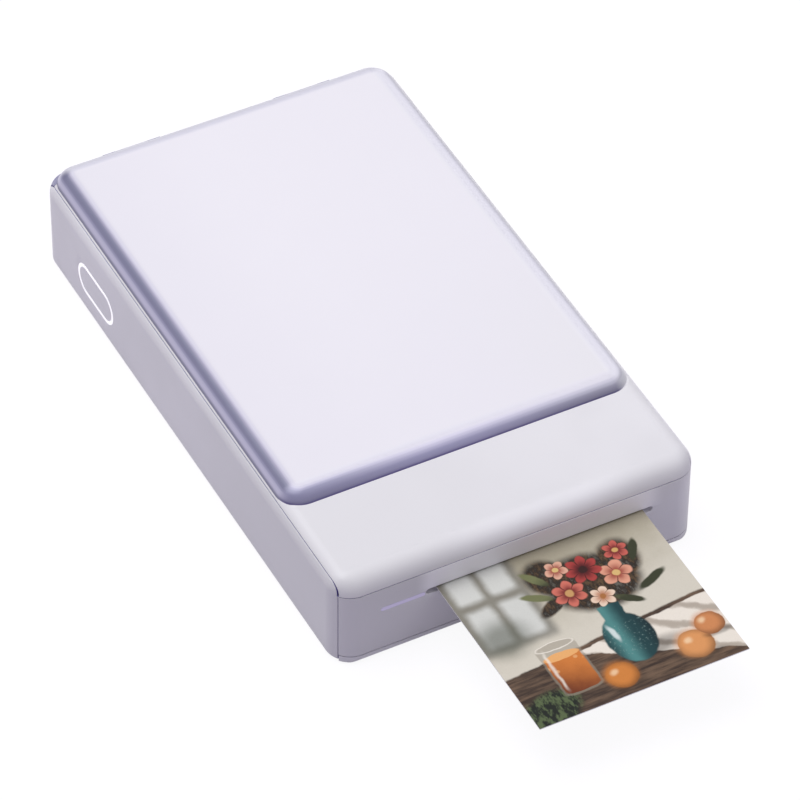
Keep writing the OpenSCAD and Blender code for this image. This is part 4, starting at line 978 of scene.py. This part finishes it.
def split_off(piece, name, y):
    """Cuts what lies behind a plane off a piece, as a new piece with the finish of the tail."""
    rear = link(name, piece.data.copy())
    rear.data.name = name
    reach = (LEFT_X - 5, RIGHT_X + 5)
    carve(piece, prism("behind", rounded_plan(*reach, y, BACK_Y + BEYOND, 0.1), *THROUGH_Z))
    carve(rear, prism("ahead", rounded_plan(*reach, FRONT_Y - BEYOND, y + SEAM, 0.1), *THROUGH_Z))
    rear.data.materials[0] = FINISHES["tail_lacquer"]
    return rear


SEAT_Z = DECK_Z - SEAT_DEPTH
# underside of the plate that carries the seat
PLATE_Z = SEAT_Z - WALL
THROUGH_Z = (SOLE_Z - 5, DECK_Z + 9)


def seat_cover(deck):
    """Joins the plate under the cover to the deck, and cuts the cover's seat into both."""
    side, plate = COVER_HIGH.x + COVER_GAP, RIGHT_X - PLATE_INSET_X
    plan = rounded_plan(-plate, plate, COVER_LOW.y - 2, BACK_Y - PLATE_INSET_Y, 4)
    carve(deck, prism("plate", plan, PLATE_Z, DECK_Z - 1.5), "UNION")
    plan = rounded_plan(-side, side, COVER_LOW.y - BROW_GAP, BACK_Y + 10, COVER_CORNER_R + COVER_GAP)
    carve(deck, prism("seat", plan, SEAT_Z, DECK_Z + 1))


def open_bay(deck):
    """Cuts the paper bay, its finger notch and the magnets' holes."""
    low, high = (Vector(v) / MM for v in frame["record"]["physics"]["openings"][0]["box_m"])
    low, high = low - BAY_PLAY, high + BAY_PLAY
    carve(deck, prism("bay_mouth", rounded_plan(low.x, high.x, low.y, high.y, 0.8), PLATE_Z - 1, DECK_Z + 1))
    carve(deck, peg((low.x + high.x) / 2, high.y, PLATE_Z - 1, DECK_Z + 1, NOTCH_R, 64))
    magnets, reach = middle_of("deck_magnets")
    for side in (-1, 1):
        x = side * (reach.x - reach.y) / 2
        carve(deck, peg(x, magnets.y, PLATE_Z - 1, magnets.z + 0.5, reach.y / 2 + 0.1, 48))


def raise_ears(tail, shelf_z):
    """Joins the hinge ears to the tail and bores them for the pins."""
    pins, size = middle_of("hinge_pins")
    lean = math.degrees(math.acos(EAR_FOOT / EAR_R))
    ear = [(pins.y - EAR_FOOT, shelf_z - 0.3), (pins.y + EAR_FOOT, shelf_z - 0.3)]
    ear += arc(pins.y, pins.z, EAR_R, -lean, 180 + 2 * lean)
    for side in (-1, 1):
        pin_x = side * (size.x - (KNUCKLE_L + 2 * EAR_L)) / 2
        for end in (-1, 1):
            ear_x = pin_x + end * (KNUCKLE_L / 2 + EAR_PLAY + EAR_L / 2)
            carve(tail, bar(ear, ear_x - EAR_L / 2, ear_x + EAR_L / 2), "UNION")
        half = KNUCKLE_L / 2 + EAR_L + 1
        carve(tail, bar(arc(pins.y, pins.z, PIN_HOLE_R), pin_x - half, pin_x + half))


def make_deck():
    """The deck, and behind the cover the tail that carries the hinge."""
    sections = [deck_section(s) for s in deck_stations()]
    rings = [list(ring) for ring in zip(*sections)]
    deck = loft("deck", rings, FINISHES["shell_plastic"],
                lambda i, k: DECK_INNER - 1 <= i < DECK_INNER + DECK_LEG, FINISHES["seam_plastic"])
    seat_cover(deck)
    tail = split_off(deck, "deck_tail", TAIL_Y)
    pins = middle_of("hinge_pins")[0]
    shelf_z = pins.z - EAR_R - SEAM
    shelf = rounded_plan(LEFT_X - 1, RIGHT_X + 1, pins.y - EAR_R - 0.25, BACK_Y + 2, 0.1)
    for piece in (deck, tail):
        carve(piece, prism("shelf", shelf, shelf_z, DECK_Z + 2))
    open_bay(deck)
    raise_ears(tail, shelf_z)
    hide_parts("top_deck")
    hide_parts("top_deck")
    return [deck, tail]


# ---- small repeated pieces ----
class Repeats(Bench):
    """A Geometry Nodes tree: one small piece, set on every point of a mesh."""

    AROUND = 48
    WELD = 0.001 * MM

    def __init__(self, name, sizes):
        super().__init__(bpy.data.node_groups.new(name, "GeometryNodeTree"))
        sockets = [("Geometry", "Geometry")] + [(size, "Float") for size in sizes]
        for label, kind in sockets + [("Turn Seed", "Int"), ("Finish", "Material")]:
            self.tree.interface.new_socket(label, in_out="INPUT", socket_type="NodeSocket" + kind)
        self.tree.interface.new_socket("Geometry", in_out="OUTPUT", socket_type="NodeSocketGeometry")
        self.given = self.node("NodeGroupInput")
        self.sizes = [Wire(self, self.given.outputs[size]) for size in sizes]

    def one_of(self, index, values):
        """The value that stands at an index in a list."""
        made = self.node("GeometryNodeIndexSwitch", data_type="FLOAT")
        while len(made.index_switch_items) < len(values):
            made.index_switch_items.new()
        self.plug(made.inputs[0], index)
        for socket, value in zip(list(made.inputs)[1:], values):
            self.plug(socket, value)
        return Wire(self, made.outputs[0])

    def turned(self, rings, lobes=6, lobe=0.16):
        """Closed surface through rings of radius, height and whether the ring is lobed."""
        sockets = {"Size X": 1.0, "Size Y": 1.0, "Vertices X": self.AROUND + 1, "Vertices Y": len(rings)}
        grid = self.node("GeometryNodeMeshGrid", sockets)
        apart = self.node("ShaderNodeSeparateXYZ", {0: grid.outputs["UV Map"]})
        angle = Wire(self, apart.outputs[0]) * math.tau
        row = Wire(self, apart.outputs[1]) * (len(rings) - 1)
        row = self.out("FunctionNodeFloatToInt", {0: row}, rounding_mode="ROUND")
        radii, heights, lobed = zip(*rings)
        wave = self.one_of(row, [lobe if ring else 0.0 for ring in lobed]) * (angle * lobes).cosine()
        radius = self.one_of(row, radii) * (1 + wave)
        spot = {0: radius * angle.cosine(), 1: radius * angle.sine(), 2: self.one_of(row, heights)}
        sockets = {"Geometry": grid.outputs["Mesh"], "Position": self.out("ShaderNodeCombineXYZ", spot)}
        bent = self.out("GeometryNodeSetPosition", sockets)
        return self.out("GeometryNodeMergeByDistance", {"Geometry": bent, "Distance": self.WELD})

    def coiled(self, radius, wire, height, turns):
        """A closed wire wound round the z axis, from z = 0 up to height."""
        sockets = {"Resolution": 24, "Rotations": turns, "Height": height}
        sockets.update({"Start Radius": radius, "End Radius": radius})
        path = self.out("GeometryNodeCurveSpiral", sockets)
        sockets = {"Resolution": 8, "Radius": wire}
        section = self.out("GeometryNodeCurvePrimitiveCircle", sockets, mode="RADIUS")
        sockets = {"Curve": path, "Profile Curve": section, "Fill Caps": True}
        return self.out("GeometryNodeCurveToMesh", sockets)

    def on_points(self, piece):
        """Sets the piece on each point, each with a turn of its own, and ends the tree."""
        chance = {2: 0.0, 3: math.tau, "Seed": self.given.outputs["Turn Seed"]}
        turn = self.out("FunctionNodeRandomValue", chance, 1, data_type="FLOAT")
        turn = self.out("FunctionNodeEulerToRotation", {0: self.out("ShaderNodeCombineXYZ", {2: turn})})
        sockets = {"Points": self.given.outputs["Geometry"], "Instance": piece, "Rotation": turn}
        copies = self.out("GeometryNodeInstanceOnPoints", sockets)
        real = self.out("GeometryNodeRealizeInstances", {0: copies})
        sockets = {"Geometry": real, "Material": self.given.outputs["Finish"]}
        self.node("NodeGroupOutput", {"Geometry": self.out("GeometryNodeSetMaterial", sockets)})
        return self

    def place(self, name, spots, sizes, finish, seed):
        """A plain mesh of the piece on every spot; lengths in millimetres."""
        mesh = bpy.data.meshes.new(name)
        mesh.from_pydata([scaled(spot, MM) for spot in spots], [], [])
        piece = link(name, mesh)
        tree = piece.modifiers.new("repeats", "NODES")
        tree.node_group = self.tree
        values = {size: value * MM for size, value in sizes.items()}
        values.update({"Turn Seed": seed, "Finish": FINISHES[finish]})
        for socket in self.tree.interface.items_tree:
            if socket.in_out == "INPUT" and socket.name in values:
                tree[socket.identifier] = values[socket.name]
        piece.data = evaluated(piece)
        piece.modifiers.clear()
        face_outwards(piece.data)
        soften(piece.data)
        return piece


def pan_screw_tree():
    """A screw with a domed pan head, a six-lobed recess in it and a pointed shank."""
    tree = Repeats("pan_screw", ("Head Radius", "Head Height", "Shank Radius", "Shank End",
                                 "Recess Radius", "Recess Floor"))
    head_r, head_h, shank_r, end, recess_r, floor = tree.sizes
    rings = [(0.0, floor, 0), (recess_r * 0.9, floor, 1), (recess_r, head_h * 0.97, 1),
             (recess_r * 1.06, head_h, 1), (head_r * 0.7, head_h, 0), (head_r * 0.85, head_h * 0.93, 0),
             (head_r * 0.95, head_h * 0.76, 0), (head_r, head_h * 0.5, 0), (head_r, head_h * 0.04, 0),
             (head_r * 0.97, 0.0, 0), (shank_r, 0.0, 0), (shank_r, end * 0.9, 0), (shank_r * 0.4, end, 0),
             (0.0, end, 0)]
    return tree.on_points(tree.turned(rings))


def ribbed_foot_tree():
    """A round foot with two grooves in its sole and a rounded rim."""
    tree = Repeats("ribbed_foot", ("Radius", "Height", "Groove Depth"))
    r, h, groove = tree.sizes
    rings = [(0.0, 0.0, 0), (r * 0.28, 0.0, 0), (r * 0.31, groove, 0), (r * 0.40, groove, 0),
             (r * 0.43, 0.0, 0), (r * 0.62, 0.0, 0), (r * 0.65, groove, 0), (r * 0.74, groove, 0),
             (r * 0.77, 0.0, 0), (r * 0.94, 0.0, 0), (r * 0.98, h * 0.08, 0), (r, h * 0.24, 0), (r, h, 0),
             (0.0, h, 0)]
    return tree.on_points(tree.turned(rings))


def coil_spring_tree():
    """A round wire wound into a spring."""
    tree = Repeats("coil_spring", ("Coil Radius", "Wire Radius", "Height"))
    radius, wire, height = tree.sizes
    return tree.on_points(tree.coiled(radius, wire, height, SPRING_TURNS))


def corner_spots(node, r, z):
    """Four places at the corners of a node whose pieces have radius r."""
    low, high = span(node)
    return [(x, y, z) for x in (low.x + r, high.x - r) for y in (low.y + r, high.y - r)]


# node, body, head radius, head height, shank radius, and whether the head is above the shank
SCREWS = (
    ("case_screws", "printer_body", 1.9, 1.0, 1.05, False),
    ("liner_screws", "cover", 1.2, 0.45, 0.6, False),
    ("tray_screws", "printer_body", 1.5, 0.9, 0.8, False),
    ("chassis_screws", "printer_body", 1.8, 0.9, 0.9, True),
)
FOOT_R = 4.0
GROOVE_DEPTH = 0.3
SPRING_TURNS = 5.0
SPRING_R = 1.75
SPRING_WIRE_R = 0.25


def make_fasteners():
    """Four screws for each row of SCREWS, with the head below or above."""
    tree = pan_screw_tree()
    for seed, (node, body, head_r, head_h, shank_r, upright) in enumerate(SCREWS):
        low, high = span(node)
        way = 1 if upright else -1
        seat = high.z - head_h if upright else low.z + head_h
        shank = high.z - low.z - head_h
        sizes = {"Head Radius": head_r, "Head Height": way * head_h, "Shank Radius": shank_r,
                 "Shank End": -way * shank, "Recess Radius": 0.42 * head_r,
                 "Recess Floor": way * 0.35 * head_h}
        piece = tree.place(node + "_turned", corner_spots(node, head_r, seat), sizes, "steel", seed)
        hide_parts(node)
        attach(piece, body)


def make_feet():
    low, high = span("rubber_feet")
    sizes = {"Radius": FOOT_R, "Height": high.z - low.z, "Groove Depth": GROOVE_DEPTH}
    spots = corner_spots("rubber_feet", FOOT_R, low.z)
    piece = ribbed_foot_tree().place("ribbed_feet", spots, sizes, "black_rubber", 9)
    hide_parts("rubber_feet")
    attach(piece, "printer_body")


def make_springs():
    """Springs over the print head."""
    low, high = span("head_springs")
    reach = SPRING_R + SPRING_WIRE_R
    middle_y = (low.y + high.y) / 2
    length = high.z - low.z
    sizes = {"Coil Radius": SPRING_R, "Wire Radius": SPRING_WIRE_R, "Height": length - 2 * SPRING_WIRE_R}
    spots = [(x, middle_y, low.z + SPRING_WIRE_R) for x in (low.x + reach, high.x - reach)]
    springs = coil_spring_tree().place("head_coil_springs", spots, sizes, "spring_steel", 12)
    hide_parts("head_springs")
    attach(springs, "printer_body")
    anchor = scaled((spots[0][0], middle_y, high.z), MM)
    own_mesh(springs)


make_fasteners()
make_feet()
make_springs()
for body_piece in make_side_panels() + make_front_panel() + make_rear_panel() + make_deck():
    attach(body_piece, "printer_body")


# ---- stage, light and camera ----
FLOOR_TINT = (0.52, 0.48, 0.61)
ROOM_TINT = (0.93, 0.90, 1.0)
ROOM_LEVEL = 0.34


def seen_by(bench, *kinds):
    """1 for rays of some kinds, such as Camera."""
    path = bench.node("ShaderNodeLightPath")
    first, *others = [Wire(bench, path.outputs[f"Is {kind} Ray"]) for kind in kinds]
    for ray in others:
        first = first.most(ray)
    return first


def make_floor():
    """A white floor that still takes the part's shadow."""
    bpy.ops.mesh.primitive_plane_add(size=8.0)
    floor = bpy.context.object
    floor.name = "floor"
    f = Finish("floor_paper")
    f.wear(Base_Color=FLOOR_TINT, Roughness=0.9, Specular_IOR_Level=0.1)
    glow = f.out("ShaderNodeEmission", {"Color": (1.0, 1.0, 1.0), "Strength": 1.15})
    mask = seen_by(f, "Camera", "Glossy", "Transmission") * 0.8
    lit = f.out("ShaderNodeMixShader", {0: mask, 1: f.surface.outputs[0], 2: glow})
    f.plug(f.output.inputs["Surface"], lit)
    floor.data.materials.append(f.material)


def make_world():
    """A dim violet room as light, and white where it is seen directly."""
    world = bpy.data.worlds.new("studio")
    bpy.context.scene.world = world
    world.use_nodes = True
    world.node_tree.nodes.clear()
    bench = Bench(world.node_tree)
    room = bench.out("ShaderNodeBackground", {"Color": ROOM_TINT, "Strength": ROOM_LEVEL})
    white = bench.out("ShaderNodeBackground", {"Color": (1.0, 1.0, 1.0), "Strength": 1.0})
    mask = seen_by(bench, "Camera", "Transmission")
    mixed = bench.out("ShaderNodeMixShader", {0: mask, 1: room, 2: white})
    bench.node("ShaderNodeOutputWorld", {"Surface": mixed})


def softbox(name, azimuth, elevation, distance, size, level):
    """Square lamp aimed at the part; level is the light it adds on a surface that faces it."""
    lamp = bpy.data.lights.new(name, "AREA")
    lamp.shape = "SQUARE"
    lamp.size = size
    lamp.energy = level * (math.pi * distance) ** 2
    holder = link(name, lamp)
    away = heading(azimuth, elevation)
    holder.location = away * distance
    holder.rotation_euler = away.to_track_quat("Z", "Y").to_euler()


def make_lights():
    softbox("key_box", -139.0, 72.0, 1.15, 0.95, 0.80)
    softbox("fill_box", 60.0, 55.0, 1.1, 0.7, 0.155)


def make_camera():
    lens = bpy.data.cameras.new("camera")
    lens.lens = LENS
    lens.sensor_width = SENSOR
    lens.clip_start = 0.05
    lens.clip_end = 20.0
    camera = link("camera", lens)
    back = heading(VIEW_AZIMUTH, VIEW_ELEVATION)
    right = heading(VIEW_AZIMUTH + 90, 0.0)
    level = Matrix((right, back.cross(right), back)).transposed().to_4x4()
    turned = level @ Matrix.Rotation(math.radians(VIEW_ROLL), 4, "Z")
    camera.matrix_world = Matrix.Translation((VIEW_TARGET + back * VIEW_DISTANCE) * MM) @ turned
    bpy.context.scene.camera = camera


make_floor()
make_world()
make_lights()
make_camera()
bpy.context.scene.view_settings.view_transform = "Standard"
